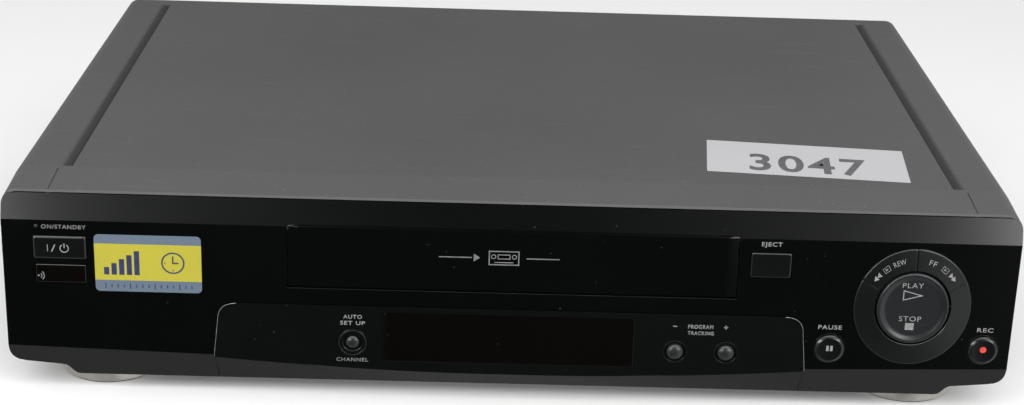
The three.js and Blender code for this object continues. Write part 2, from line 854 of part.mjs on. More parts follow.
function makeFlapSpring() {
  const inner = flapSpring.studRadius + fit;
  const outer = inner + flapSpring.wire;
  const start = flap.halfWidth + fit + flapBearing.thickness + fit;
  const length = flapSpring.studLength - 2 * fit;
  const coil = cut(
    rodX(outer, 0, 0, -start - length, -start),
    rodX(inner, 0, 0, -start - length - overrun, overrun - start),
  );
  const farX = -start - length;
  const leg = block(farX, farX + flapSpring.wire, inner, outer, -flapSpring.legLength, 0);
  return piece('door_spring', join(coil, leg), plated, 0, flapSpring.y, flap.pivotZ);
}

// A push button: its cap through the wall, a flange behind the wall and a stem to its switch.
// It is made round the middle of its cap, with y = 0 on the flat face of the front panel.
function pressBody(shapeAt, capFrontY, wallBackY, flats = facets.medium) {
  const flangeY = wallBackY + fit;
  const flangeBackY = flangeY + button.flangeThickness;
  const stemEnd = keyBoard.frontY - tactSwitch.depth - tactSwitch.plungerLength - button.travel - fit;
  return join(
    prismY(shapeAt(0), capFrontY, flangeBackY, flats),
    prismY(shapeAt(button.flangeGrow), flangeY, flangeBackY, flats),
    rodY(button.stemRadius, 0, 0, wallBackY, stemEnd, facets.tiny),
  );
}

function makeButton(name, shapeAt, spec, material, faceY = 0, backY = wall, x = spec.x) {
  const flats = spec.radius ? facets.small : facets.tiny;
  return piece(name, pressBody(shapeAt, faceY - spec.proud, backY, flats), material, x, 0, spec.z);
}

function makeButtons() {
  const face = -insert.proud;
  const back = face + wall;
  const program = roundKey(programKey);
  return [
    makeButton('power_button', squareKey(powerKey), powerKey, blackSatin),
    makeButton('eject_button', squareKey(ejectKey), ejectKey, blackSatin),
    makeButton('pause_button', roundKey(pauseKey), pauseKey, blackGloss),
    makeButton('record_button', roundKey(recordKey), recordKey, blackGloss),
    makeButton('setup_button', roundKey(setupKey), setupKey, blackSatin, face, back),
    makeButton('program_down_button', program, programKey, blackSatin, face, back, programKey.leftX),
    makeButton('program_up_button', program, programKey, blackSatin, face, back, programKey.rightX),
  ];
}

// A sector of the transport ring, as a wedge that is wider than the ring
function wedge(startDegrees, endDegrees) {
  const far = 2 * ring.halfHeight;
  const angles = [startDegrees, (startDegrees + endDegrees) / 2, endDegrees].map(THREE.MathUtils.degToRad);
  const corners = angles.map((angle) => [far * Math.cos(angle), far * Math.sin(angle)]);
  return prismY(polygon([[0, 0], ...corners]), -2 * overrun, keyBoard.frontY);
}

function ringBody(backY, grow) {
  const outline = ellipse(ring.halfWidth + grow, ring.halfHeight + grow);
  const outer = prismY(outline, -ring.proud, backY, facets.large);
  const inner = ellipse(ring.innerHalfWidth, ring.innerHalfHeight);
  return cut(outer, prismY(inner, -2 * overrun, backY + overrun, facets.large));
}

function makeTransportKeys() {
  const flangeY = wall + fit;
  const flangeBack = flangeY + button.flangeThickness;
  const far = 2 * ring.halfHeight;
  const front = block(-far, far, -2 * overrun, flangeY, -far, far);
  const flange = cut(ringBody(flangeBack, button.flangeGrow), front);
  const whole = join(ringBody(flangeBack, 0), flange);
  const middleRadius = (ring.halfWidth + ring.innerHalfWidth) / 2;
  const gapDegrees = THREE.MathUtils.radToDeg(fit / middleRadius) / 2;
  const pinHole = disc.halfWidth + disc.pinReach + fit;
  const bore = rodX(disc.pinRadius + fit, disc.pivotY, 0, -pinHole, pinHole, facets.tiny);
  const fixed = cut(whole, wedge(ring.startDegrees, ring.endDegrees), bore);
  const stemEnd = keyBoard.frontY - tactSwitch.depth - tactSwitch.plungerLength - button.travel - fit;
  const sector = (start, end) => {
    const body = whole.intersect(wedge(start + gapDegrees, end - gapDegrees));
    const angle = THREE.MathUtils.degToRad((start + end) / 2);
    const [x, z] = [middleRadius * Math.cos(angle), middleRadius * Math.sin(angle)];
    return join(body, rodY(button.stemRadius, x, z, wall, stemEnd, facets.tiny));
  };
  const pinEnd = disc.halfWidth + disc.pinReach;
  const rockerStemEnd = keyBoard.frontY - tactSwitch.depth - tactSwitch.plungerLength - disc.swing - fit;
  const rocker = join(
    prismY(ellipse(disc.halfWidth, disc.halfHeight), -disc.proud, disc.backY, facets.medium),
    rodX(disc.pinRadius, disc.pivotY, 0, -pinEnd, pinEnd, facets.tiny),
    rodY(button.stemRadius, 0, disc.stemZ, disc.backY - fit, rockerStemEnd, facets.tiny),
    rodY(button.stemRadius, 0, -disc.stemZ, disc.backY - fit, rockerStemEnd, facets.tiny),
  );
  const group = new THREE.Group();
  group.position.set(ring.x, 0, ring.z);
  group.add(
    piece('transport_ring', fixed, blackSatin),
    piece('rewind_button', sector(ring.middleDegrees, ring.endDegrees), blackSatin),
    piece('forward_button', sector(ring.startDegrees, ring.middleDegrees), blackSatin),
    piece('play_stop_disc', rocker, blackGloss),
  );
  return group;
}

// Where the switches sit: one behind each button stem
function switchPlaces() {
  const radius = (ring.halfWidth + ring.innerHalfWidth) / 2;
  const sectors = [
    [ring.startDegrees, ring.middleDegrees],
    [ring.middleDegrees, ring.endDegrees],
  ];
  const keys = sectors.map(([start, end]) => {
    const angle = THREE.MathUtils.degToRad((start + end) / 2);
    return [ring.x + radius * Math.cos(angle), ring.z + radius * Math.sin(angle)];
  });
  return [
    ...[powerKey, ejectKey, pauseKey, recordKey, setupKey].map(({ x, z }) => [x, z]),
    [programKey.leftX, programKey.z],
    [programKey.rightX, programKey.z],
    ...keys,
    [ring.x, ring.z + disc.stemZ],
    [ring.x, ring.z - disc.stemZ],
  ];
}

function makeKeyBoard() {
  const backY = keyBoard.frontY + keyBoard.thickness;
  const half = halfWidth - fromSide.keyBoard;
  const boardTop = height - fromTop.keyBoard;
  let body = block(-half, half, keyBoard.frontY, backY, keyBoard.bottomZ, boardTop);
  const gap = keyBoard.gapHalfWidth;
  const top = boardTop + overrun;
  body = cut(body, block(-gap, gap, keyBoard.frontY - overrun, backY + overrun, keyBoard.gapBottomZ, top));
  const inside = frontOutline(wall + fit, wall + fit);
  body = body.intersect(prismY(inside, keyBoard.frontY - overrun, backY + overrun, facets.medium));
  const bodyY = keyBoard.frontY - tactSwitch.depth;
  const halfSwitch = tactSwitch.size / 2;
  for (const [x, z] of switchPlaces()) {
    body = join(
      body,
      block(x - halfSwitch, x + halfSwitch, bodyY, backY - fit, z - halfSwitch, z + halfSwitch),
      rodY(tactSwitch.plungerRadius, x, z, bodyY - tactSwitch.plungerLength, bodyY + fit, facets.tiny),
    );
  }
  return piece('key_board', body, boardGreen);
}

function makeDisplayTube() {
  const x = displayWindow.leftX + displayWindow.width / 2;
  const z = (displayWindow.bottomZ + displayWindow.topZ) / 2;
  const frontY = keyBoard.frontY - displayTube.depth;
  const { halfWidth: across, halfHeight: up, capWidth, capDepth } = displayTube;
  const envelope = block(-across, across, frontY, keyBoard.frontY, -up, up);
  const rims = [-1, 1].map((side) => {
    const outer = side * across;
    const inner = side * (across - capWidth);
    const bottomY = frontY - overrun;
    return block(Math.min(outer, inner), Math.max(outer, inner), bottomY, frontY + capDepth, -up, up);
  });
  return piece('display_tube', cut(envelope, ...rims), glass, x, 0, z);
}

function makeLamp() {
  const body = join(
    rodY(lamp.radius, 0, 0, -lamp.proud, lamp.bodyY, facets.tiny),
    rodY(lamp.bodyRadius, 0, 0, lamp.bodyY - fit, keyBoard.frontY, facets.tiny),
  );
  return piece('standby_led', body, lampRed, lamp.x, 0, lamp.z);
}

function makeLabels() {
  const { leftX, bottomZ, topZ, thickness, corner } = frontLabel;
  const rightX = leftX + frontLabel.width;
  const front = prismY(roundedRect(leftX, rightX, bottomZ, topZ, corner), -thickness, 0);
  const across = lotLabel.width / 2;
  const deep = lotLabel.depth / 2;
  const lot = block(-across, across, -deep, deep, 0, lotLabel.thickness);
  const paperLabel = piece('lot_label', lot, paper, lotLabel.x, lotLabel.y, height);
  paperLabel.rotation.z = THREE.MathUtils.degToRad(lotLabel.turnDegrees);
  return [piece('front_label', front, yellowPaper), paperLabel];
}

function makeFeet() {
  const footX = halfWidth - fromSide.foot;
  const rearY = depth - fromRear.foot;
  const places = [
    ['foot_front_left', -footX, foot.frontY],
    ['foot_front_right', footX, foot.frontY],
    ['foot_rear_left', -footX, rearY],
    ['foot_rear_right', footX, rearY],
  ];
  const body = turned([
    [0, foot.dishDepth],
    [foot.dish, foot.dishDepth],
    [foot.dish, 0],
    [foot.radius - foot.bevel, 0],
    [foot.radius, foot.bevel],
    [foot.radius, foot.height],
    [0, foot.height],
  ]);
  return places.map(([name, x, y]) => piece(name, body, silverRubber, x, y, 0));
}

// The base's lower edge, seen from the front, from its left flange to its right one
function baseLine() {
  const side = halfWidth - sheet - fit;
  const half = [
    [raisedEnd.startX, foot.height],
    [raisedEnd.endX, raisedEnd.endZ],
    [raisedEnd.outerX, raisedEnd.outerZ],
    [side, cover.sideBottomZ],
    [side, cover.sideBottomZ + base.lap],
  ];
  const mirrored = half.map(([x, z]) => [-x, z]).reverse();
  return [...mirrored, ...half];
}

function deckPosts() {
  const x = deck.halfWidth - deck.postInsetX;
  const ys = [deck.frontY + deck.postInsetY, deck.rearY - deck.postInsetY];
  return ys.flatMap((y) => [[-x, y], [x, y]]);
}

function boardBosses(spec) {
  const inset = spec.bossInset;
  const xs = [spec.leftX + inset, spec.rightX - inset];
  return xs.flatMap((x) => [[x, spec.frontY + inset], [x, spec.rearY - 2 * inset]]);
}

function makeBase() {
  const frontY = panel.backY + fit;
  const rearY = depth - 2 * sheet - 2 * fit;
  const floorZ = foot.height + sheet;
  let body = prismY(polygon(strip(baseLine(), sheet)), frontY, rearY);
  for (const [x, y] of deckPosts()) {
    body = join(body, rodZ(base.postRadius, x, y, floorZ - sheet / 2, deck.bottomZ));
    body = cut(body, rodZ(screw.shankRadius + fit, x, y, floorZ, deck.bottomZ + overrun, facets.tiny));
  }
  for (const [x, y] of [...boardBosses(mainBoard), ...boardBosses(powerBoard)]) {
    body = join(body, rodZ(base.bossRadius, x, y, floorZ - sheet / 2, board.bottomZ));
  }
  return piece('chassis_base', body, paintedSteel);
}

function makeRearPanel() {
  const frontY = depth - 2 * sheet - fit;
  const backY = frontY + sheet;
  const side = halfWidth - sheet - fit;
  const top = height - sheet - fit;
  const radius = cover.cornerRadius - sheet - fit;
  const steps = facets.small / 4;
  const lower = baseLine().slice(1, -1);
  const outline = [
    ...lower,
    ...arcPoints(side - radius, top - radius, radius, 0, 90, steps),
    ...arcPoints(radius - side, top - radius, radius, 90, 180, steps),
  ];
  let body = prismY(polygon(outline), frontY, backY);
  const [y0, y1] = [frontY - overrun, backY + overrun];
  const boardTop = board.bottomZ + board.thickness;
  for (const x of [scart.leftX, scart.leftX + scart.pitch]) {
    const reach = scart.halfWidth + fit;
    body = cut(body, block(x - reach, x + reach, y0, y1, boardTop - fit, boardTop + scart.height + fit));
  }
  for (const x of audioPlaces()) body = cut(body, rodY(audio.radius + fit, x, audio.z, y0, y1));
  for (const x of tunerPlaces()) body = cut(body, rodY(tuner.socketRadius + fit, x, tunerSocket.z, y0, y1));
  const inletReach = inlet.halfWidth + fit;
  const inletTop = boardTop + inlet.height + fit;
  const inletX = inletMiddle();
  body = cut(body, block(inletX - inletReach, inletX + inletReach, y0, y1, boardTop - fit, inletTop));
  for (let i = 0; i < rear.slotCount; i += 1) {
    const x = fromSide.vents - halfWidth + rear.slotPitch * (i - (rear.slotCount - 1) / 2);
    const [x0, x1] = [x - rear.slotWidth / 2, x + rear.slotWidth / 2];
    const slotBottom = rear.slotZ - rear.slotHeight / 2;
    body = cut(body, block(x0, x1, y0, y1, slotBottom, slotBottom + rear.slotHeight));
  }
  for (const x of [-coverScrew.x, 0, coverScrew.x]) {
    body = cut(body, rodY(screw.shankRadius + fit, x, coverScrew.z, y0, y1, facets.tiny));
  }
  return piece('rear_panel', body, paintedSteel);
}

function audioPlaces() {
  return [audio.x - audio.spacing / 2, audio.x + audio.spacing / 2];
}

function tunerPlaces() {
  const rightX = halfWidth - fromSide.tuner;
  return [rightX - tuner.width + tunerSocket.inset, rightX - tunerSocket.inset];
}

function inletMiddle() {
  return powerBoard.leftX + inlet.sideInset;
}

function makeBoard(name, spec, holes, parts) {
  const topZ = board.bottomZ + board.thickness;
  let body = block(spec.leftX, spec.rightX, spec.frontY, spec.rearY, board.bottomZ, topZ);
  for (const [x, y] of holes) {
    body = cut(body, rodZ(base.postRadius + fit, x, y, board.bottomZ - overrun, topZ + overrun));
  }
  return piece(name, join(body, ...parts), boardGreen);
}

// A place on a circuit board, as shares of its width and depth
function boardPlace(spec, acrossShare, deepShare) {
  const x = spec.leftX + (spec.rightX - spec.leftX) * acrossShare;
  const y = spec.frontY + (spec.rearY - spec.frontY) * deepShare;
  return [x, y];
}

function makeMainBoard() {
  const topZ = board.bottomZ + board.thickness;
  const leftShares = [[0.1, 0.2], [0.1, 0.45], [0.12, 0.7]];
  const rightShares = [[0.72, 0.3], [0.72, 0.55], [0.9, 0.3], [0.9, 0.5]];
  const chipShares = [...leftShares, ...rightShares];
  const chips = chipShares.map((shares) => {
    const [x, y] = boardPlace(mainBoard, ...shares);
    const [across, deep] = [chip.width / 2, chip.depth / 2];
    return block(x - across, x + across, y - deep, y + deep, topZ - fit, topZ + chip.height);
  });
  const holes = deckPosts().filter(([x, y]) => x > mainBoard.leftX && y > mainBoard.frontY);
  return makeBoard('main_board', mainBoard, holes, chips);
}

function makePowerBoard() {
  const topZ = board.bottomZ + board.thickness;
  const cans = [[0.25, 0.1], [0.6, 0.1]].map((shares) => {
    const [x, y] = boardPlace(powerBoard, ...shares);
    return rodZ(capacitor.radius, x, y, topZ - fit, topZ + capacitor.height);
  });
  const [sinkX, sinkY] = boardPlace(powerBoard, 0.55, 0.7);
  const half = heatSink.width / 2;
  const sinkBackY = sinkY + heatSink.thickness;
  const sink = block(sinkX - half, sinkX + half, sinkY, sinkBackY, topZ - fit, topZ + heatSink.height);
  return makeBoard('power_board', powerBoard, [], [...cans, sink]);
}

function makeTransformer() {
  const z = board.bottomZ + board.thickness;
  const { width: across, depth: deep, height: tall, coilInset, coilBulge } = transformer;
  const core = block(-across / 2, across / 2, -deep / 2, deep / 2, 0, tall);
  const coilX = across / 2 - coilInset;
  const coilY = deep / 2 + coilBulge;
  const coil = block(-coilX, coilX, -coilY, coilY, coilInset, tall - coilInset);
  const x = powerBoard.leftX + transformer.sideInset;
  const y = powerBoard.rearY - transformer.rearInset;
  return piece('transformer', join(core, coil), darkPlastic, x, y, z);
}

function makeSockets() {
  const z = board.bottomZ + board.thickness;
  const pieces = [];
  const scartRearY = depth + scart.proud;
  for (let i = 0; i < 2; i += 1) {
    const across = scart.halfWidth;
    const slot = scart.slotHalfWidth;
    const slotZ = (scart.height - scart.slotHeight) / 2;
    const slotTop = slotZ + scart.slotHeight;
    const body = cut(
      block(-across, across, scartRearY - scart.length, scartRearY, 0, scart.height),
      block(-slot, slot, scartRearY - scart.slotDepth, scartRearY + overrun, slotZ, slotTop),
    );
    pieces.push(piece(`scart_socket_${i + 1}`, body, darkPlastic, scart.leftX + scart.pitch * i, 0, z));
  }
  const innerBack = depth - 2 * sheet - 2 * fit;
  const [leftJack, rightJack] = audioPlaces();
  const margin = audio.radius + audio.boreRadius;
  const jackY = innerBack - audio.bodyDepth;
  let jacks = block(leftJack - margin, rightJack + margin, jackY, innerBack, z, z + audio.bodyHeight);
  for (const x of [leftJack, rightJack]) {
    jacks = join(jacks, rodY(audio.radius, x, audio.z, innerBack - fit, scartRearY));
    jacks = cut(jacks, rodY(audio.boreRadius, x, audio.z, innerBack, scartRearY + overrun, facets.tiny));
  }
  pieces.push(piece('audio_jacks', jacks, darkPlastic));
  const canRightX = halfWidth - fromSide.tuner;
  const canFrontY = innerBack - tuner.length;
  let can = block(canRightX - tuner.width, canRightX, canFrontY, innerBack, z, z + tuner.height);
  const tunerRearY = depth + tunerSocket.proud;
  for (const x of tunerPlaces()) {
    can = join(can, rodY(tuner.socketRadius, x, tunerSocket.z, innerBack - fit, tunerRearY));
    const socketEnd = tunerRearY + overrun;
    can = cut(can, rodY(tuner.boreRadius, x, tunerSocket.z, innerBack, socketEnd, facets.tiny));
  }
  pieces.push(piece('tuner_box', can, plated));
  const across = inlet.halfWidth;
  const inset = inlet.cavityInset;
  const inletRearY = depth + inlet.proud;
  const cavityY = inletRearY - inlet.cavityDepth;
  let plugSeat = cut(
    block(-across, across, inletRearY - inlet.length, inletRearY, 0, inlet.height),
    block(inset - across, across - inset, cavityY, inletRearY + overrun, inset, inlet.height - inset),
  );
  for (const side of [-1, 1]) {
    const pinEnd = inletRearY - inset;
    const pinX = side * inlet.pinX;
    const pin = rodY(inlet.pinRadius, pinX, inlet.height / 2, cavityY - fit, pinEnd, facets.tiny);
    plugSeat = join(plugSeat, pin);
  }
  pieces.push(piece('mains_inlet', plugSeat, darkPlastic, inletMiddle(), 0, z));
  return pieces;
}

function makeDeckPlate() {
  const bottom = deck.bottomZ;
  const middle = (bottom + deckTop) / 2;
  let plate = block(-deck.halfWidth, deck.halfWidth, deck.frontY, deck.rearY, bottom, deckTop);
  for (const [x, y] of deckPosts()) {
    const hole = rodZ(screw.shankRadius + fit, x, y, bottom - overrun, deckTop + overrun, facets.tiny);
    plate = cut(plate, hole);
  }
  for (const x of [-reel.x, reel.x]) {
    const studTop = reel.topZ - 2 * reel.studRadius;
    plate = join(plate, rodZ(reel.studRadius, x, reel.y, middle, studTop, facets.tiny));
  }
  const { x: shaftX, y: shaftY, sleeveTopZ } = capstan;
  plate = join(plate, rodZ(capstan.sleeveRadius, shaftX, shaftY, middle, sleeveTopZ));
  const shaftBore = capstan.shaftRadius + fit;
  plate = cut(plate, rodZ(shaftBore, shaftX, shaftY, bottom - overrun, sleeveTopZ + overrun));
  const armTop = deckTop + fit + pinch.armThickness;
  plate = join(plate, rodZ(pinch.studRadius, pinch.pivotX, pinch.pivotY, middle, armTop + pinch.studRadius));
  return piece('deck_plate', plate, plated);
}

// The gap between basket, slider and frame sets how far each stands from the middle
const sliderInner = basket.innerHalfWidth + basket.wall + fit;
const sliderOuter = sliderInner + slider.plateThickness;
const frameInner = sliderOuter + fit;
const frameOuter = frameInner + sideFrame.thickness;
const basketTop = basket.floorZ + basket.innerHeight + basket.wall;

// A prism that runs along X between two planes, with its outline drawn in Y and Z
function prismX(points, x0, x1) {
  const [low, high] = x0 < x1 ? [x0, x1] : [x1, x0];
  return loft('x', [low, high], () => points);
}

function makeSideFrame(name, side) {
  const { frontY, rearY, noseZ, footFrontY, footWidth, thickness } = sideFrame;
  const topZ = height - fromTop.sideFrame;
  const outline = [
    [footFrontY, deckTop],
    [rearY, deckTop],
    [rearY, topZ],
    [frontY, topZ],
    [frontY, noseZ],
    [footFrontY, noseZ],
  ];
  const plate = prismX(outline, side * frameInner, side * frameOuter);
  const footX = side * (frameOuter + footWidth);
  const tabTop = deckTop + thickness;
  const tab = [[footFrontY, deckTop], [rearY, deckTop], [rearY, tabTop], [footFrontY, tabTop]];
  return piece(name, join(plate, prismX(tab, side * frameInner, footX)), plated);
}

function makeSlider() {
  const barZ = basketTop + fit;
  const topZ = barZ + slider.barThickness;
  const barBackY = slider.barFrontY + slider.barDepth;
  let body = block(-sliderOuter, sliderOuter, slider.barFrontY, barBackY, barZ, topZ);
  for (const side of [-1, 1]) {
    const [x0, x1] = side > 0 ? [sliderInner, sliderOuter] : [-sliderOuter, -sliderInner];
    body = join(body, block(x0, x1, slider.frontY, slider.rearY, slider.bottomZ, topZ));
  }
  return piece('carriage_slider', body, darkPlastic);
}

function makeBasket() {
  const { frontY, rearY, floorZ, wall: thick, innerHalfWidth: inner } = basket;
  const outer = inner + thick;
  const railZ = floorZ - thick;
  const roofZ = floorZ + basket.innerHeight;
  let body = join(
    block(-outer, outer, basket.topFrontY, rearY, roofZ, basketTop),
    block(-outer, outer, frontY, frontY + basket.barDepth, railZ, floorZ),
  );
  for (const side of [-1, 1]) {
    const span = (a, b) => [Math.min(side * a, side * b), Math.max(side * a, side * b)];
    body = join(
      body,
      block(...span(inner, outer), frontY, rearY, railZ, basketTop),
      block(...span(outer - basket.railWidth, outer), frontY, rearY, railZ, floorZ),
      block(...span(outer - basket.stopWidth, outer), rearY - thick, rearY, railZ, basketTop),
    );
  }
  return piece('cassette_basket', body, plated);
}

function makeDrums() {
  const bore = drum.shaftRadius + fit;
  const lower = turned([
    [bore, deckTop],
    [drum.radius, deckTop],
    [drum.radius, drum.lowerTopZ],
    [bore, drum.lowerTopZ],
    [bore, deckTop],
  ], facets.large);
  const startZ = drum.lowerTopZ + fit;
  const upper = turned([
    [0, deckTop + fit],
    [drum.shaftRadius, deckTop + fit],
    [drum.shaftRadius, startZ],
    [drum.radius, startZ],
    [drum.radius, drum.topZ],
    [drum.hubRadius, drum.topZ],
    [drum.hubRadius, drum.topZ + drum.hubHeight],
    [0, drum.topZ + drum.hubHeight],
  ], facets.large);
  return [
    piece('drum_base', lower, alloy, 0, drum.y, 0),
    piece('head_drum', upper, alloy, 0, drum.y, 0),
  ];
}

function makeCapstan() {
  const wheelTop = deck.bottomZ - fit;
  const wheelBottom = wheelTop - capstan.wheelThickness;
  const body = turned([
    [0, wheelBottom],
    [capstan.wheelRadius, wheelBottom],
    [capstan.wheelRadius, wheelTop],
    [capstan.shaftRadius, wheelTop],
    [capstan.shaftRadius, capstan.topZ],
    [0, capstan.topZ],
  ]);
  return piece('capstan_flywheel', body, alloy, capstan.x, capstan.y, 0);
}

function makePinch() {
  const armZ = deckTop + fit;
  const armTop = armZ + pinch.armThickness;
  const run = pinch.rollerX - pinch.pivotX;
  const rise = pinch.rollerY - pinch.pivotY;
  const length = Math.hypot(run, rise);
  const half = pinch.armWidth / 2;
  const outline = new THREE.Shape();
  outline.absarc(0, 0, half, Math.PI / 2, 1.5 * Math.PI);
  outline.absarc(length, 0, half, -Math.PI / 2, Math.PI / 2);
  const arm = cut(
    join(
      prismZ(outline, armZ, armTop),
      rodZ(pinch.shaftRadius, length, 0, armZ, pinch.rollerTopZ + pinch.shaftRadius, facets.tiny),
      rodZ(pinch.shaftRadius + 2 * fit, length, 0, armZ, pinch.rollerBottomZ - fit, facets.tiny),
    ),
    rodZ(pinch.studRadius + fit, 0, 0, armZ - overrun, armTop + overrun, facets.tiny),
  );
  const bore = pinch.shaftRadius + fit;
  const roller = turned([
    [bore, pinch.rollerBottomZ],
    [pinch.rollerRadius, pinch.rollerBottomZ],
    [pinch.rollerRadius, pinch.rollerTopZ],
    [bore, pinch.rollerTopZ],
    [bore, pinch.rollerBottomZ],
  ], facets.small);
  const group = new THREE.Group();
  group.position.set(pinch.pivotX, pinch.pivotY, 0);
  group.rotation.z = Math.atan2(rise, run);
  group.add(piece('pinch_arm', arm, plated), piece('pinch_roller', roller, rubber, length, 0, 0));
  return group;
}

function makeReel(name, x) {
  const bottom = deckTop + fit;
  const bore = reel.studRadius + fit;
  const boreTop = reel.topZ - reel.studRadius;
  let body = turned([
    [0, boreTop],
    [bore, boreTop],
    [bore, bottom],
    [reel.radius, bottom],
    [reel.radius, bottom + reel.rimHeight],
    [reel.hubRadius, bottom + reel.rimHeight],
    [reel.hubRadius, reel.topZ],
    [0, reel.topZ],
  ], facets.small);
  for (let i = 0; i < reelTooth.count; i += 1) {
    const half = reelTooth.width / 2;
    const reach = reel.hubRadius + reelTooth.reach;
    const tooth = block(bore + fit, reach, -half, half, reelTooth.bottomZ, boreTop);
    body = join(body, tooth.rotate([0, 0, (360 * i) / reelTooth.count]));
  }
  return piece(name, body, darkPlastic, x, reel.y, 0);
}

function makeGuidePost(name, x) {
  const top = deckTop + guidePost.height;
  const { radius, flangeRadius, flange } = guidePost;
  const body = turned([
    [0, deckTop],
    [flangeRadius, deckTop],
    [flangeRadius, deckTop + flange],
    [radius, deckTop + flange],
    [radius, top - flange],
    [flangeRadius, top - flange],
    [flangeRadius, top],
    [0, top],
  ], facets.tiny);
  return piece(name, body, alloy, x, guidePost.y, 0);
}

function makeMotor() {
  const z = motor.radius + motor.saddle;
  const half = motor.length / 2;
  const body = join(
    rodX(motor.radius, 0, z, -half, half),
    block(-half / 2, half / 2, -motor.radius, motor.radius, 0, z),
    rodX(motor.shaftRadius, 0, z, half - fit, half + motor.shaftLength, facets.tiny),
  );
  return piece('loading_motor', body, plated, motor.x, motor.y, deckTop);
}

// A pan-head screw that stands on z = 0 with its slotted head up
function screwBody() {
  const body = turned([
    [0, -screw.shankLength],
    [screw.shankRadius, -screw.shankLength],
    [screw.shankRadius, 0],
    [screw.headRadius, 0],
    [screw.headRadius, screw.headHeight / 2],
    [screw.headRadius - screw.headHeight / 2, screw.headHeight],
    [0, screw.headHeight],
  ], facets.tiny);
  const half = screw.slotWidth / 2;
  const slotZ = screw.headHeight - screw.slotDepth;
  const slotEnd = screw.headRadius + fit;
  return cut(body, block(-slotEnd, slotEnd, -half, half, slotZ, screw.headHeight + overrun));
}

function makeScrews() {
  const deckScrews = deckPosts().map(([x, y], i) => {
    return piece(`deck_screw_${i + 1}`, screwBody(), plated, x, y, deckTop);
  });
  const coverScrews = [-coverScrew.x, 0, coverScrew.x].map((x, i) => {
    const body = screwBody().rotate([-90, 0, 0]);
    return piece(`cover_screw_${i + 1}`, body, plated, x, depth, coverScrew.z);
  });
  return [...deckScrews, ...coverScrews];
}

function group(...members) {
  const made = new THREE.Group();
  made.add(...members.flat());
  return made;
}

const casing = group(makeTopCover(), makeBase(), makeRearPanel(), makeFeet(), makeLabels());
const front = group(
  makeFrontPanel(),
  makeInsert(),
  makeWindow('display_window', displayWindow, -insert.proud, smokedClear),
  makeWindow('ir_window', remoteWindow, 0, smokedClear),
  makeLamp(),
  makeFlap(),
  makeFlapSpring(),
  makeButtons(),
  makeTransportKeys(),
  makeKeyBoard(),
  makeDisplayTube(),
);
const electronics = group(makeMainBoard(), makePowerBoard(), makeTransformer(), makeSockets());
const mechanism = group(
  makeDeckPlate(),
  makeSideFrame('side_frame_left', -1),
  makeSideFrame('side_frame_right', 1),
  makeSlider(),
  makeBasket(),
  makeDrums(),
  makeCapstan(),
  makePinch(),
  makeReel('supply_reel', -reel.x),
  makeReel('takeup_reel', reel.x),
  makeGuidePost('supply_guide_post', guidePost.leftX),
  makeGuidePost('takeup_guide_post', guidePost.rightX),
  makeMotor(),
);
const recorder = group(casing, front, electronics, mechanism, makeScrews());
recorder.position.y = -(depth + tunerSocket.proud - disc.proud) / 2;

export default group(recorder);
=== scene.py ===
import json
import math

import bmesh
import bpy
from mathutils import Matrix, Vector


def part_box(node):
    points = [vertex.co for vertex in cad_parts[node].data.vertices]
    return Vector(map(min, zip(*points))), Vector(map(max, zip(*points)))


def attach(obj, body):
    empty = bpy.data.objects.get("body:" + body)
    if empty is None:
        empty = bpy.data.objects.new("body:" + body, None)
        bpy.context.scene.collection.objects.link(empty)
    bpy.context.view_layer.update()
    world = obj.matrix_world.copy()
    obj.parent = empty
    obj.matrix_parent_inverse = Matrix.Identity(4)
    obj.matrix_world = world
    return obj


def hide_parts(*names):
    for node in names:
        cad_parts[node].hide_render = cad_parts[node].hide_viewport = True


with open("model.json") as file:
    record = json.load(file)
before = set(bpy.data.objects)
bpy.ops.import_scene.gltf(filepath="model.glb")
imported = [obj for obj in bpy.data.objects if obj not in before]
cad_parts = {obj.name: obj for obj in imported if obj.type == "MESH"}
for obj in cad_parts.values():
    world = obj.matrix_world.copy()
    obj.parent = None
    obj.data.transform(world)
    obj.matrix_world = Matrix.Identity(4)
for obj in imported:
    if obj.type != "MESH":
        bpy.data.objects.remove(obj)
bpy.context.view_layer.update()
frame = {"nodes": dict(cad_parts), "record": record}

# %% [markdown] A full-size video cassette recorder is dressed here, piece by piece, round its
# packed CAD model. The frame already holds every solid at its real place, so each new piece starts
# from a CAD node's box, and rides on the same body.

MM = 0.001
bpy.context.scene.view_settings.view_transform = "Standard"
BODY_OF = {}
for body_name, members in frame["record"]["behaviour"]["bodies"].items():
    BODY_OF.update({member: body_name for member in members})


def node_box(name):
    """The corners of a CAD node in millimetres."""
    low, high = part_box(name)
    return Vector(low) / MM, Vector(high) / MM


# %% [markdown]
# The photograph looks down on the recorder at about twenty degrees, a little from the left, with
# the camera tipped two degrees to one side. A camera could be aimed with a Track To constraint, but
# its tilt would be lost, so its three axes are written into its matrix instead. The picture was
# cropped off-centre, which the two shifts stand for.

# %% The camera
CAMERA_PLACE = Vector((-0.011145, -0.88488, 0.39239))
CAMERA_YAW = math.radians(1.273)
CAMERA_PITCH = math.radians(19.621)
CAMERA_ROLL = math.radians(2.011)
PHOTO_SIZE = (1024, 405)
FOCAL_PIXELS = 1908.5
SIGHT_PIXEL = (530.67, 128.84)


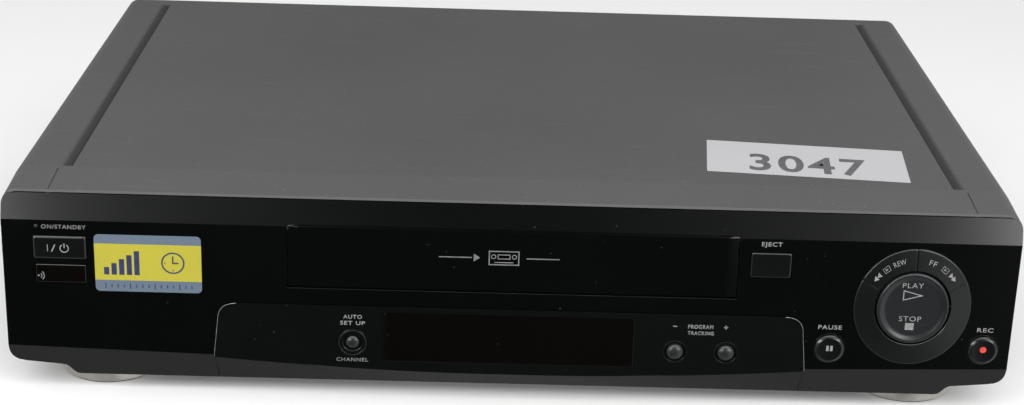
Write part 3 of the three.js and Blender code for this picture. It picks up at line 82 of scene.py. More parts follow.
def make_camera():
    level = math.cos(CAMERA_PITCH)
    sight = Vector((math.sin(CAMERA_YAW) * level, math.cos(CAMERA_YAW) * level, -math.sin(CAMERA_PITCH)))
    side = Vector((math.cos(CAMERA_YAW), -math.sin(CAMERA_YAW), 0))
    above = side.cross(sight)
    right = math.cos(CAMERA_ROLL) * side + math.sin(CAMERA_ROLL) * above
    up = math.cos(CAMERA_ROLL) * above - math.sin(CAMERA_ROLL) * side
    lens = bpy.data.cameras.new("photo_camera")
    lens.lens = FOCAL_PIXELS * lens.sensor_width / PHOTO_SIZE[0]
    lens.shift_x = (PHOTO_SIZE[0] / 2 - SIGHT_PIXEL[0]) / PHOTO_SIZE[0]
    lens.shift_y = (SIGHT_PIXEL[1] - PHOTO_SIZE[1] / 2) / PHOTO_SIZE[0]
    camera = bpy.data.objects.new("photo_camera", lens)
    axes = Matrix((right, up, -sight)).transposed().to_4x4()
    camera.matrix_world = Matrix.Translation(CAMERA_PLACE) @ axes
    bpy.context.scene.collection.objects.link(camera)
    bpy.context.scene.camera = camera
    return camera


camera = make_camera()
lens_values = (camera.data.lens, camera.data.shift_x, camera.data.shift_y)
print("lens and shifts", [round(value, 4) for value in lens_values])

# %% [markdown]
# Shaders are written here as sums. A Signal wraps one output socket, and each operator on it adds
# the Math node that does the same. The Wiring that it belongs to adds any other node. The
# alternative, linking each pair of sockets by hand, takes three times the lines and hides what a
# pattern does.

# %% Writing shaders as expressions
class Signal:
    """An output socket that can be added, taken away, multiplied and compared."""

    def __init__(self, wiring, socket):
        self.wiring = wiring
        self.socket = socket

    def maths(self, operation, *values):
        return self.wiring.node("ShaderNodeMath", {"operation": operation}, dict(enumerate(values)))

    def __add__(self, other):
        return self.maths("ADD", self, other)

    def __sub__(self, other):
        return self.maths("SUBTRACT", self, other)

    def __rsub__(self, other):
        return self.maths("SUBTRACT", other, self)

    def __mul__(self, other):
        return self.maths("MULTIPLY", self, other)

    def __gt__(self, other):
        return self.maths("GREATER_THAN", self, other)

    def __lt__(self, other):
        return self.maths("LESS_THAN", self, other)

    def __abs__(self):
        return self.maths("ABSOLUTE", self)

    def highest(self, other):
        return self.maths("MAXIMUM", self, other)

    __radd__ = __add__
    __rmul__ = __mul__


class Wiring:
    """A node tree, and the one way of adding a node to it."""

    def __init__(self, tree):
        self.tree = tree

    def fill(self, socket, value):
        if isinstance(value, Signal):
            self.tree.links.new(value.socket, socket)
        elif isinstance(value, tuple) and len(value) == 3 and len(socket.default_value) == 4:
            socket.default_value = (*value, 1)
        else:
            socket.default_value = value

    def node(self, kind, settings=None, inputs=None, output=0):
        made = self.tree.nodes.new(kind)
        for name, value in (settings or {}).items():
            setattr(made, name, value)
        for name, value in (inputs or {}).items():
            self.fill(made.inputs[name], value)
        return Signal(self, made.outputs[output])

    def between(self, value, low, high, start=0.0, end=1.0):
        settings = {"interpolation_type": "SMOOTHSTEP"}
        inputs = {"Value": value, "From Min": low, "From Max": high, "To Min": start, "To Max": end}
        return self.node("ShaderNodeMapRange", settings, inputs)


print("methods of a signal", sum(callable(part) for part in vars(Signal).values()))

# %% [markdown]
# A Finish is a material with one Principled shader, and the few patterns that dust, wear and grain
# are made of. They follow Object coordinates, so a pattern keeps its size on every piece and moves
# with it. Generated coordinates would stretch with each piece's box.

# %% A material and its patterns
MIX_INPUTS = {"factor": 0, "first": 6, "second": 7}
MIX_RESULT = 2


class Finish(Wiring):
    """A material, its Principled shader and the patterns that feed it."""

    def __init__(self, name, **fixed):
        self.material = bpy.data.materials.new(name)
        self.material.use_nodes = True
        super().__init__(self.material.node_tree)
        self.shader = self.tree.nodes["Principled BSDF"]
        self.set(**fixed)

    def set(self, **sockets):
        for name, value in sockets.items():
            self.fill(self.shader.inputs[name.replace("_", " ").title().replace("Ior", "IOR")], value)
        return self

    def place(self):
        return self.node("ShaderNodeTexCoord", output="Object")

    def axis(self, letter):
        return self.node("ShaderNodeSeparateXYZ", inputs={"Vector": self.place()}, output=letter)

    def noise(self, per_metre, detail=2.0, stretch=None):
        where = self.place()
        if stretch:
            where = self.node("ShaderNodeMapping", inputs={"Vector": where, "Scale": stretch})
        inputs = {"Vector": where, "Scale": per_metre, "Detail": detail}
        return self.node("ShaderNodeTexNoise", inputs=inputs)

    def cells(self, per_metre):
        inputs = {"Vector": self.place(), "Scale": per_metre}
        return self.node("ShaderNodeTexVoronoi", inputs=inputs, output="Distance")

    def mix(self, mask, first, second):
        values = {"factor": mask, "first": first, "second": second}
        inputs = {MIX_INPUTS[name]: value for name, value in values.items()}
        return self.node("ShaderNodeMix", {"data_type": "RGBA"}, inputs, MIX_RESULT)

    def specks(self, per_metre, edge, core, patches):
        """Small round spots, only where a slow noise lets them be. patches is its scale and two limits."""
        scale, thin, thick = patches
        return self.between(self.cells(per_metre), edge, core) * self.between(self.noise(scale), thin, thick)

    def bumpy(self, height):
        """Gives the surface a relief, whose height is in metres."""
        inputs = {"Height": height, "Distance": 1.0, "Strength": 1.0}
        return self.set(normal=self.node("ShaderNodeBump", inputs=inputs))


print("methods of a finish", sum(callable(part) for part in vars(Finish).values()))

# %% [markdown]
# Black moulded plastic shows what lies on it: fine dust, wiping marks that change its gloss, and
# slow waves where the skin sank as it cooled. One recipe with a few numbers gives every plastic
# part its own amount of each, so that they look like one family without being copies.

# %% Moulded plastics
DUST = (0.32, 0.32, 0.31)
SINK_WAVES = 0.00002
WIPING = (1, 1, 6)


def scaled(colour, share):
    """A colour made darker or lighter."""
    return tuple(channel * share for channel in colour)


def moulded(name, colour, gloss, dust, grain=0.0, **fixed):
    """Plastic with dust specks, uneven gloss and, where grain is given, a fine spark-eroded skin."""
    finish = Finish(name, **fixed)
    cloudy = finish.noise(18, 3)
    wiped = finish.noise(60, 4, WIPING)
    fluff = finish.specks(190, 0.06, 0.035, (45, 0.48, 0.6)) * dust
    tint = finish.mix(cloudy, scaled(colour, 0.72), scaled(colour, 1.28))
    finish.set(base_color=finish.mix(fluff, tint, DUST))
    finish.set(roughness=gloss + (wiped - 0.5) * gloss * 0.3 + fluff * 0.4)
    height = finish.noise(40, 1) * SINK_WAVES
    if grain:
        height = height + finish.noise(1500, 2) * grain
    return finish.bumpy(height)


SATIN_GRAIN = 0.000004
COARSE_GRAIN = 0.00001
PANEL_BLACK = (0.0012, 0.0016, 0.0014)
PANEL_GLOSS = 0.15
PANEL_IOR = 1.42
front_gloss = moulded("front_gloss", PANEL_BLACK, PANEL_GLOSS, 0.08, ior=PANEL_IOR)
# A paler grey plastic laid on the mouth's lower lip, as a painted highlight.
lip_highlight_paint = moulded("lip_highlight_paint", (0.05, 0.05, 0.05), 0.4, 0.1)
key_satin = moulded("key_satin", (0.009, 0.0095, 0.0095), 0.3, 0.15, SATIN_GRAIN)
key_gloss = moulded("key_gloss", (0.0025, 0.003, 0.003), 0.2, 0.1)
ring_satin = moulded("ring_satin", (0.0034, 0.0041, 0.0042), 0.25, 0.05, 0.000003)
dial_satin = moulded("dial_satin", (0.007, 0.0082, 0.009), 0.3, 0.1, SATIN_GRAIN)
socket_plastic = moulded("socket_plastic", (0.02, 0.02, 0.021), 0.45, 0.5, COARSE_GRAIN)
inner_plastic = moulded("inner_plastic", (0.035, 0.035, 0.037), 0.5, 0.4, COARSE_GRAIN)
print("plastics", 8)

# %% [markdown]
# The front panel is one moulding with two finishes: its flat face and the band above are polished,
# and the band that slopes away under the crease is spark-eroded to a satin skin. Two materials
# would need the mesh to be split along the crease. A mask on height, following the crease outward,
# does the same on one mesh.

# %% The front panel and the control insert
CREASE_START_X = 0.127
CREASE_Z = 0.0213
CREASE_SLOPE = 0.0261
CREASE_BLUR = 0.0003
SATIN_ROUGHNESS = 0.46
SPARK_SKIN = 0.00002
SLOW_WAVES = 0.00002


def two_finish_front(name, colour, gloss, crease, band):
    """A polished face over a satin band. crease gives the height of the line between them."""
    finish = Finish(name, ior=PANEL_IOR)
    line = crease(abs(finish.axis("X")))
    below = finish.between(finish.axis("Z") - line, CREASE_BLUR, -CREASE_BLUR)
    cloudy = finish.noise(14, 3)
    wiped = finish.noise(50, 4, (1, 1, 5))
    speck = finish.specks(170, 0.06, 0.04, (40, 0.48, 0.6))
    face = finish.mix(cloudy, scaled(colour, 0.7), scaled(colour, 1.3))
    finish.set(base_color=finish.mix(speck * 0.09, finish.mix(below, face, band), DUST))
    polished = gloss + (wiped - 0.5) * gloss * 0.2
    finish.set(roughness=polished + below * (SATIN_ROUGHNESS - gloss) + speck * 0.1)
    return finish.bumpy(finish.noise(1700, 2) * below * SPARK_SKIN + finish.noise(30, 1) * SLOW_WAVES)


def panel_crease(across):
    return (across - CREASE_START_X).highest(0.0) * CREASE_SLOPE + CREASE_Z


INSERT_CREASE_Z = 0.0153
INSERT_CREASE_RISE = 0.005
INSERT_HALF_WIDTH = 0.1255


def insert_crease(across):
    share = across * (1 / INSERT_HALF_WIDTH)
    return share * share * INSERT_CREASE_RISE + INSERT_CREASE_Z


PANEL_BAND = (0.0032, 0.0037, 0.0035)
INSERT_BLACK = (0.0016, 0.0023, 0.0021)
INSERT_BAND = (0.0016, 0.0019, 0.0018)
panel_finish = two_finish_front("panel_finish", PANEL_BLACK, PANEL_GLOSS, panel_crease, PANEL_BAND)
insert_finish = two_finish_front("insert_finish", INSERT_BLACK, 0.22, insert_crease, INSERT_BAND)
print("two-finish fronts", panel_finish.material.name, insert_finish.material.name)

# %% [markdown]
# The cover and the chassis are coated steel. The paint has a fine orange-peel texture, a little
# dust that settled on the top, faint rubbing marks, and bare brighter metal where the long edges
# were handled. Wear is painted by distance from the cover's own edges, which needs no baked map,
# and painted shade darkens the paint that lies sunk in each groove on the cover.

# %% Painted and plated steel
COVER_HALF_WIDTH = 0.215
COVER_TOP = 0.096
GROOVE_START = -0.1172
GROOVE_END = 0.136
GROOVE_INNER = (0.1895, 0.19)
GROOVE_OUTER = (0.1957, 0.1952)
DEEPEST = 0.004
CORNER = (0.0032, 0.0018)
PAINT_RUBBED = (0.2, 0.2, 0.2)
BARE_STEEL = (0.25, 0.25, 0.26)
ORANGE_PEEL = 0.00003
FINE_LINES = 0.00001
SHEET_WAVES = 0.00015


def worn_corner(finish):
    """Where handling took the paint off: in patches along the cover's bent edges."""
    from_side = COVER_HALF_WIDTH - abs(finish.axis("X"))
    from_top = COVER_TOP - finish.axis("Z")
    corner = finish.between(from_side.highest(from_top), *CORNER)
    return corner * finish.between(finish.noise(70, 5), 0.52, 0.66)


def painted_groove_shade(finish):
    """Painted shade: where the paint lies sunk in a groove of the cover, it is darkened as if in shadow."""
    below_top = COVER_TOP - finish.axis("Z")
    sunk = finish.between(below_top, 0.0001, 0.0008) * (below_top < DEEPEST)
    place = finish.axis("Y")
    across = abs(finish.axis("X"))
    sides = finish.between(across, *GROOVE_OUTER) * finish.between(across, *GROOVE_INNER)
    return sunk * (place > GROOVE_START) * (place < GROOVE_END) * sides


def painted_steel(name, colour, edge_wear=0.0, groove_shade=0.0):
    finish = Finish(name, ior=1.45, specular_ior_level=0.18)
    cloudy = finish.noise(9, 4)
    flecks = finish.between(finish.noise(420, 1), 0.66, 0.74)
    rubbed = finish.between(finish.noise(30, 5, (1, 7, 1)), 0.6, 0.72)
    settled = finish.specks(120, 0.07, 0.03, (25, 0.5, 0.64))
    base = finish.mix(cloudy, scaled(colour, 0.86), scaled(colour, 1.14))
    base = finish.mix(flecks * 0.22, base, scaled(colour, 1.9))
    base = finish.mix(rubbed * 0.03, base, PAINT_RUBBED)
    base = finish.mix(settled * 0.3, base, DUST)
    if edge_wear:
        base = finish.mix(worn_corner(finish) * edge_wear, base, BARE_STEEL)
    # Painted shade in each groove on the cover, darker where the sheet is sunk.
    if groove_shade:
        base = finish.mix(painted_groove_shade(finish) * groove_shade, base, scaled(colour, 0.3))
    finish.set(base_color=base, roughness=0.55 + (cloudy - 0.5) * 0.16 - rubbed * 0.05)
    return finish.bumpy(finish.noise(900, 2) * ORANGE_PEEL + finish.noise(12, 1) * SHEET_WAVES)


def crystals(finish, per_metre):
    """Flat patches of different brightness, as zinc sets in."""
    inputs = {"Vector": finish.place(), "Scale": per_metre}
    patches = finish.node("ShaderNodeTexVoronoi", inputs=inputs, output="Color")
    return finish.node("ShaderNodeSeparateColor", inputs={"Color": patches})


def plated_steel(name, colour, roughness, spangle=0.25):
    finish = Finish(name, metallic=1.0)
    patch = crystals(finish, 160)
    drawn = finish.noise(900, 3, (1, 1, 12))
    dulled = finish.between(finish.noise(35, 4), 0.5, 0.7)
    tint = finish.mix(patch, scaled(colour, 1 - spangle), colour)
    finish.set(base_color=finish.mix(dulled * 0.35, tint, scaled(colour, 0.6)))
    finish.set(roughness=roughness + patch * 0.1 + dulled * 0.15)
    return finish.bumpy(drawn * FINE_LINES)


cover_paint = painted_steel("cover_paint", (0.08, 0.0805, 0.0805), edge_wear=0.25, groove_shade=0.7)
chassis_paint = painted_steel("chassis_paint", (0.045, 0.0455, 0.046))
zinc_steel = plated_steel("zinc_steel", (0.62, 0.63, 0.64), 0.28)
tin_plate = plated_steel("tin_plate", (0.72, 0.72, 0.7), 0.22, 0.12)
print("steels", 4)

# %% [markdown]
# Turned parts, such as the head drum, the flywheel and the guide posts, are bright alloy with fine
# rings left by the cutting tool. Rings round each axis would need each part's own centre, so the
# fine lines follow height instead, which is how a side-turned part looks. Rubber, iron, the feet's
# silver and the insert's painted highlight line are two shades mottled together, and the boards'
# copper tracks are the joints of a brick pattern.

# %% Turned alloy, rubber, laminate and the transformer's iron
def turned_alloy(name, colour, roughness):
    finish = Finish(name, metallic=1.0)
    lines = finish.noise(300, 2, (1, 1, 40))
    smudge = finish.between(finish.noise(60, 4), 0.45, 0.7)
    finish.set(base_color=finish.mix(smudge * 0.4, colour, scaled(colour, 0.7)))
    finish.set(roughness=roughness + smudge * 0.12 + lines * 0.06)
    return finish.bumpy(lines * FINE_LINES)


def plain_texture(name, first, second, per_metre, roughness, relief, metallic=0.0):
    """Two shades mottled together, over a bumpy skin."""
    finish = Finish(name, metallic=metallic)
    mottle = finish.noise(per_metre, 4)
    finish.set(base_color=finish.mix(finish.between(mottle, 0.35, 0.65), first, second))
    finish.set(roughness=roughness + (mottle - 0.5) * 0.2)
    return finish.bumpy(mottle * relief)


def printed_tracks(finish):
    """The joints of a brick pattern, which run like copper tracks."""
    colours = {"Color1": (0, 0, 0), "Color2": (0, 0, 0), "Mortar": (1, 1, 1)}
    inputs = {"Vector": finish.place(), "Scale": 190.0, "Mortar Size": 0.028, **colours}
    runs = finish.node("ShaderNodeTexBrick", {"offset": 0.37, "squash": 1.7}, inputs)
    return finish.node("ShaderNodeSeparateColor", inputs={"Color": runs})


BOARD_GREEN = (0.028, 0.075, 0.03)
TRACK_GREEN = (0.05, 0.13, 0.05)
SOLDER = (0.5, 0.5, 0.46)
COMPONENT = (0.018, 0.018, 0.02)
TRACK_RELIEF = 0.00004


def circuit_laminate(name, top=None):
    """Green board with tracks and solder pads. What stands above a given top is dark components."""
    finish = Finish(name)
    track = printed_tracks(finish)
    pads = finish.between(finish.cells(260), 0.17, 0.12)
    if top:
        parts = finish.axis("Z") > top
        pads = pads * (1 - parts)
        track = track * (1 - parts)
    face = finish.mix(track, BOARD_GREEN, TRACK_GREEN)
    face = finish.mix(pads, face, SOLDER)
    if top:
        face = finish.mix(parts, face, COMPONENT)
    finish.set(base_color=face, roughness=0.4 - pads * 0.1, metallic=pads * 0.8)
    return finish.bumpy((track + pads) * TRACK_RELIEF)


BOARD_TOP = 0.0158
head_alloy = turned_alloy("head_alloy", (0.78, 0.78, 0.79), 0.16)
laminate = circuit_laminate("circuit_laminate")
filled_laminate = circuit_laminate("filled_laminate", BOARD_TOP)
RUBBER = ((0.018, 0.018, 0.018), (0.03, 0.029, 0.028))
IRON = ((0.05, 0.042, 0.032), (0.12, 0.085, 0.05))
SATIN_SILVER = ((0.4, 0.385, 0.355), (0.48, 0.465, 0.43))
# The greys of the painted highlight line along the control insert's rounded edge.
HIGHLIGHT_GREYS = ((0.6, 0.61, 0.61), (0.66, 0.67, 0.67))
roller_rubber = plain_texture("roller_rubber", *RUBBER, 500, 0.75, 0.00003)
winding_iron = plain_texture("winding_iron", *IRON, 260, 0.5, 0.00006, 0.4)
foot_silver = plain_texture("foot_silver", *SATIN_SILVER, 140, 0.45, 0.000005, 0.8)
# A pale grey, half-metallic skin: a painted highlight along the insert's rounded edge.
insert_highlight_paint = plain_texture("insert_highlight_paint", *HIGHLIGHT_GREYS, 160, 0.35, 0.000004, 0.3)
print("other finishes", 7)

# %% [markdown]
# Smoked plastic lets a little light through and mostly reflects. A fully transparent window shows
# black behind it anyway, since the case is closed, so a dark tinted gloss with a faint brown is
# steadier, and the display tube behind still has its own glassy finish for the open views.

# %% Windows, lamp, paper and print
smoked_window = moulded("smoked_window", (0.0016, 0.0013, 0.001), 0.08, 0.2, ior=1.49, coat_weight=0.6)
tube_glass = moulded("tube_glass", (0.03, 0.04, 0.038), 0.08, 0.1, coat_weight=1.0)
lamp_lens = moulded("lamp_lens", (0.006, 0.004, 0.004), 0.35, 0.0, coat_weight=0.1)


def paper_stock(name, colour):
    finish = Finish(name)
    fibre = finish.noise(600, 4)
    base = finish.mix(finish.noise(40, 3), scaled(colour, 0.93), colour)
    finish.set(base_color=finish.mix(fibre * 0.12, base, scaled(colour, 0.8)))
    finish.set(roughness=0.62 + (fibre - 0.5) * 0.1)
    return finish.bumpy(fibre * FINE_LINES)


def print_ink(name, colour):
    """Screen-printed ink: thin, a little uneven, and worn in places."""
    finish = Finish(name)
    patchy = finish.between(finish.noise(420, 3), 0.3, 0.7)
    base = finish.mix(patchy, scaled(colour, 0.72), colour)
    return finish.set(base_color=base, roughness=0.5 + patchy * 0.1)


lot_paper = paper_stock("lot_paper", (0.47, 0.47, 0.485))
light_print = print_ink("light_print", (0.19, 0.19, 0.187))
dim_print = print_ink("dim_print", (0.13, 0.13, 0.127))
navy_print = print_ink("navy_print", (0.010, 0.018, 0.085))
digit_print = print_ink("digit_print", (0.11, 0.11, 0.115))
red_print = print_ink("red_print", (0.5, 0.03, 0.02))
print("windows and print", 9)

# %% [markdown]
# Every piece ends the same way: its bmesh becomes a mesh, its faces are smoothed up to an angle,
# and the object is tied to the body, while any CAD node that it stands for is hidden. One function
# does it, so no piece can be left riding on nothing.

# %% Finishing a piece
SMOOTH_ANGLE = math.radians(32)


def finish_piece(name, shape, finish, body, slot, replaced=()):
    """Turns a bmesh in millimetres into a finished piece on a body."""
    bmesh.ops.scale(shape, vec=(MM, MM, MM), verts=shape.verts)
    mesh = bpy.data.meshes.new(name)
    shape.to_mesh(mesh)
    shape.free()
    mesh.materials.append(finish.material)
    mesh.shade_smooth()
    mesh.set_sharp_from_angle(angle=SMOOTH_ANGLE)
    piece = bpy.data.objects.new(name, mesh)
    bpy.context.scene.collection.objects.link(piece)
    level = piece.modifiers.new("flat_faces_stay_flat", "WEIGHTED_NORMAL")
    level.keep_sharp = True
    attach(piece, body)
    if replaced:
        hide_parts(*replaced)
    return piece


print("smoothed up to", round(math.degrees(SMOOTH_ANGLE)), "degrees")

# %% [markdown]
# No moulded or pressed edge is perfectly sharp, and the thin highlight along it is what makes a
# part look made. The CAD solids have sharp edges, so a copy of each is merged into one skin, its
# flat faces are made whole again, and every edge sharper than a set angle gets a small round.

# %% Easing the edges of CAD shapes
FLAT_ANGLE = math.radians(0.6)
EDGE_ANGLE = math.radians(35)
CREASE_ANGLE = math.radians(9)
CREASE_LENGTH = 15
WELD = 0.002


def merged_copy(node):
    """The node's mesh in millimetres, as one closed skin with its flat faces made whole."""
    shape = bmesh.new()
    shape.from_mesh(frame["nodes"][node].data)
    bmesh.ops.scale(shape, vec=(1 / MM,) * 3, verts=shape.verts)
    bmesh.ops.remove_doubles(shape, verts=shape.verts, dist=WELD)
    bmesh.ops.dissolve_limit(shape, angle_limit=FLAT_ANGLE, verts=shape.verts, edges=shape.edges)
    return shape


def round_edges(shape, edges, width, segments=2):
    bmesh.ops.bevel(
        shape, geom=edges, offset=width, offset_type="OFFSET", affect="EDGES",
        segments=segments, profile=0.5, clamp_overlap=True, material=-1,
    )
    return len(edges)


def sharp_edges(shape, angle=EDGE_ANGLE):
    return [e for e in shape.edges if len(e.link_faces) == 2 and e.calc_face_angle() > angle]


def ahead_of(depth, edges):
    """Those edges that lie wholly in front of a depth."""
    return [e for e in edges if all(v.co.y < depth for v in e.verts)]


def creases(shape):
    """Long shallow bends, which a mould leaves crisp but not sharp."""
    bent = [e for e in sharp_edges(shape, CREASE_ANGLE) if e.calc_face_angle() < EDGE_ANGLE]
    return [e for e in bent if e.calc_length() > CREASE_LENGTH]


def ease(node, width, finish, slot, segments=2):
    """A copy of a CAD node with rounded edges, which stands for it."""
    shape = merged_copy(node)
    count = round_edges(shape, sharp_edges(shape), width, segments)
    finish_piece(f"{node}_eased", shape, finish, BODY_OF[node], slot, [node])
    return count


print("edges sharper than", round(math.degrees(EDGE_ANGLE)), "degrees get rounded")

# %% [markdown]
# Everything that keeps its CAD shape gets its finish here, in rows of one finish, its slot and the
# width in millimetres of each part's roundings. Folded sheet and board get small ones, castings and
# mouldings larger ones. One width for all would make thin steel look like plastic.

# %% The fixed shells and the parts inside them
EASED = [
    (smoked_window, "smoked_window", {"display_window": 0.2, "ir_window": 0.45}),
    (chassis_paint, "casing_paint", {"chassis_base": 0.25, "rear_panel": 0.2}),
    (laminate, "circuit_board", {"key_board": 0.1}),
    (filled_laminate, "circuit_board", {"main_board": 0.1, "power_board": 0.1}),
    (tube_glass, "tube_glass", {"display_tube": 0.3}),
    (winding_iron, "iron_core", {"transformer": 0.8}),
    (tin_plate, "plated_steel", {"tuner_box": 0.4}),
    (socket_plastic, "socket_plastic", {"audio_jacks": 0.3, "scart_socket_1": 0.4, "scart_socket_2": 0.4,
                                        "mains_inlet": 0.4}),
    (zinc_steel, "plated_steel", {"deck_plate": 0.15, "side_frame_left": 0.2, "side_frame_right": 0.2}),
    (inner_plastic, "socket_plastic", {"carriage_slider": 0.3}),
    (zinc_steel, "plated_steel", {"cassette_basket": 0.2}),
    (head_alloy, "drum_alloy", {"drum_base": 0.4, "head_drum": 0.4, "capstan_flywheel": 0.3}),
    (zinc_steel, "plated_steel", {"pinch_arm": 0.2}),
    (roller_rubber, "roller_rubber", {"pinch_roller": 0.3}),
    (inner_plastic, "socket_plastic", {"supply_reel": 0.3, "takeup_reel": 0.3}),
    (head_alloy, "drum_alloy", {"supply_guide_post": 0.2, "takeup_guide_post": 0.2}),
    (zinc_steel, "plated_steel", {"loading_motor": 0.4}),
    (tin_plate, "plated_steel", {"door_spring": 0.1}),
    (zinc_steel, "plated_steel", {f"deck_screw_{i}": 0.15 for i in range(1, 5)}),
    (zinc_steel, "plated_steel", {f"cover_screw_{i}": 0.15 for i in range(1, 4)}),
]
ROUND_SEGMENTS = {"ir_window": 3}
for finish, slot, widths in EASED:
    for node, width in widths.items():
        print(node, "edges", ease(node, width, finish, slot, ROUND_SEGMENTS.get(node, 2)))

# %% [markdown]
# The panel and the door meet at the cassette mouth. The panel's lip there is rounded over wide enough
# to catch a bright line below the door, and a thin paler skin of its own on that rounding is a
# painted highlight that makes the line brighter. The door's top edge stays crisp and dark under the
# band, and the slopes at the door's two ends are made flatter, so that they stay dark too.

# %% The front panel and the cassette door
FACE = -143.9
INSERT_FACE = -144.5
HAIR = 0.05
MOUTH_HALF_WIDTH = 95.6
MOUTH_LOW = 53.6
MOUTH_HIGH = 82
LIP_RADIUS = 0.8
LIP_SLOPES = (0.15, 0.98)
LIP_HIGHLIGHT_THICKNESS = 0.03
DOOR_REACH = 1.6
DOOR_TOP_DROP = 0.55
DOOR_END_WIDTH = 2.8
DOOR_END_FRONT = 1.0
DOOR_END_DEPTH = 0.3


def on_mouth(vert):
    low = abs(vert.co.z - MOUTH_LOW) < HAIR and abs(vert.co.x) < MOUTH_HALF_WIDTH + HAIR
    side = abs(abs(vert.co.x) - MOUTH_HALF_WIDTH) < HAIR and MOUTH_LOW - HAIR < vert.co.z < MOUTH_HIGH
    return vert.co.y < FACE + 0.2 and (low or side)


def on_lip(face):
    """Whether a face is part of the rounding along the mouth's lower edge."""
    middle = face.calc_center_median()
    reach = LIP_RADIUS + HAIR
    inside = abs(middle.x) < MOUTH_HALF_WIDTH and MOUTH_LOW - reach < middle.z < MOUTH_LOW + HAIR
    return inside and middle.y < FACE + reach and LIP_SLOPES[0] < face.normal.z < LIP_SLOPES[1]


def skin_off(shape, belongs, thickness):
    """A thin copy of some of a shape's faces, laid on its outside."""
    skin = shape.copy()
    bmesh.ops.delete(skin, geom=[face for face in skin.faces if not belongs(face)], context="FACES")
    skin.normal_update()
    bmesh.ops.solidify(skin, geom=skin.faces[:], thickness=-thickness)
    return skin


def front_panel_piece():
    shape = merged_copy("front_panel")
    round_edges(shape, creases(shape), 0.3)
    lip = [e for e in sharp_edges(shape) if all(on_mouth(v) for v in e.verts)]
    print("mouth edges", round_edges(shape, lip, LIP_RADIUS, 4))
    # A paler skin on the lip's rounding: a painted highlight along the edge below the door.
    worn = skin_off(shape, on_lip, LIP_HIGHLIGHT_THICKNESS)
    finish_piece("mouth_lip_painted_highlight", worn, lip_highlight_paint, "casing", "panel_gloss")
    round_edges(shape, sharp_edges(shape), 0.35)
    finish_piece("front_panel_moulding", shape, panel_finish, "casing", "panel_gloss", ["front_panel"])


def door_piece():
    shape = merged_copy("cassette_door")
    low, high = node_box("cassette_door")
    for place in [vert.co for vert in shape.verts if vert.co.y <= FACE + DOOR_REACH]:
        if place.z > high.z - HAIR:
            place.y = max(FACE + HAIR, place.y - DOOR_TOP_DROP)
        if abs(place.x) > high.x - DOOR_END_WIDTH and place.y < FACE + DOOR_END_FRONT:
            place.y = min(place.y, FACE + DOOR_END_DEPTH)
    round_edges(shape, creases(shape), 0.25)
    round_edges(shape, sharp_edges(shape), 0.15)
    finish_piece("cassette_flap", shape, front_gloss, "flap", "panel_gloss", ["cassette_door"])


front_panel_piece()
door_piece()

# %% [markdown]
# The control insert has a thin pale line round its sides and upper corners: a painted highlight
# along its rounded edge. It follows the rounded edge exactly, so it is made from the faces of that
# rounding: they are copied off, and given a hair of thickness outward.

# %% The control insert and its painted highlight line
EDGE_ROUND_WIDTH = 1.3
HIGHLIGHT_FROM_X = 114.5
HIGHLIGHT_FROM_Z = 20.8
HIGHLIGHT_DEPTH = 1.2
HIGHLIGHT_THICKNESS = 0.05
STRAIGHT_ON = 0.995
LARGE_FACE = 40


def rests(face):
    """Whether a face belongs to a flat side of the moulding, not to its rounding."""
    return max(abs(part) for part in face.normal) > STRAIGHT_ON or face.calc_area() > LARGE_FACE


# The faces that get the painted highlight: the insert's outer rounding, on its sides and upper corners.
def on_painted_highlight(face):
    middle = face.calc_center_median()
    outside = abs(middle.x) > HIGHLIGHT_FROM_X and middle.z > HIGHLIGHT_FROM_Z
    return outside and middle.y < INSERT_FACE + HIGHLIGHT_DEPTH and not rests(face)


def insert_and_highlight_line():
    shape = merged_copy("control_insert")
    round_edges(shape, creases(shape), 0.3)
    round_edges(shape, ahead_of(INSERT_FACE + HAIR, sharp_edges(shape)), EDGE_ROUND_WIDTH, 3)
    # A pale skin on those faces: a painted highlight along the rounded edge.
    line = skin_off(shape, on_painted_highlight, HIGHLIGHT_THICKNESS)
    print("faces in the silver line", len(line.faces))
    round_edges(shape, sharp_edges(shape), 0.3)
    finish_piece("control_insert_moulding", shape, insert_finish, "casing", "insert_satin",
                 ["control_insert"])
    finish_piece("insert_painted_highlight", line, insert_highlight_paint, "casing", "foot_silver")


insert_and_highlight_line()

# %% [markdown]
# Buttons, dials and feet are turned shapes: a profile goes once round an axis. A cylinder primitive
# with bevelled ends would do for a plain disc, but a profile also carries the dome or the dish of
# the cap, the flange behind the wall and the stem to the switch, all in one skin.

# %% Turning a profile round the line that points out of the front
CLEARANCE = 0.3
STEM_RADIUS = 1.8
STEM_END = 7.7
FLANGE_GROWTH = 1.3
FLANGE_THICKNESS = 1.2


def tipped(shape, degrees, axis):
    """Turns a shape round one of the three axes through the origin."""
    turn = Matrix.Rotation(math.radians(degrees), 3, axis)
    bmesh.ops.rotate(shape, verts=shape.verts, cent=(0, 0, 0), matrix=turn)
    return shape


def spun(shape, axis, sweep, steps):
    """Sweeps a line round an axis into a skin, and closes it where the sweep is whole."""
    bmesh.ops.spin(
        shape, geom=shape.verts[:] + shape.edges[:], cent=(0, 0, 0), axis=axis, dvec=(0, 0, 0),
        angle=math.radians(sweep), steps=steps, use_merge=sweep == 360,
    )
    return shape


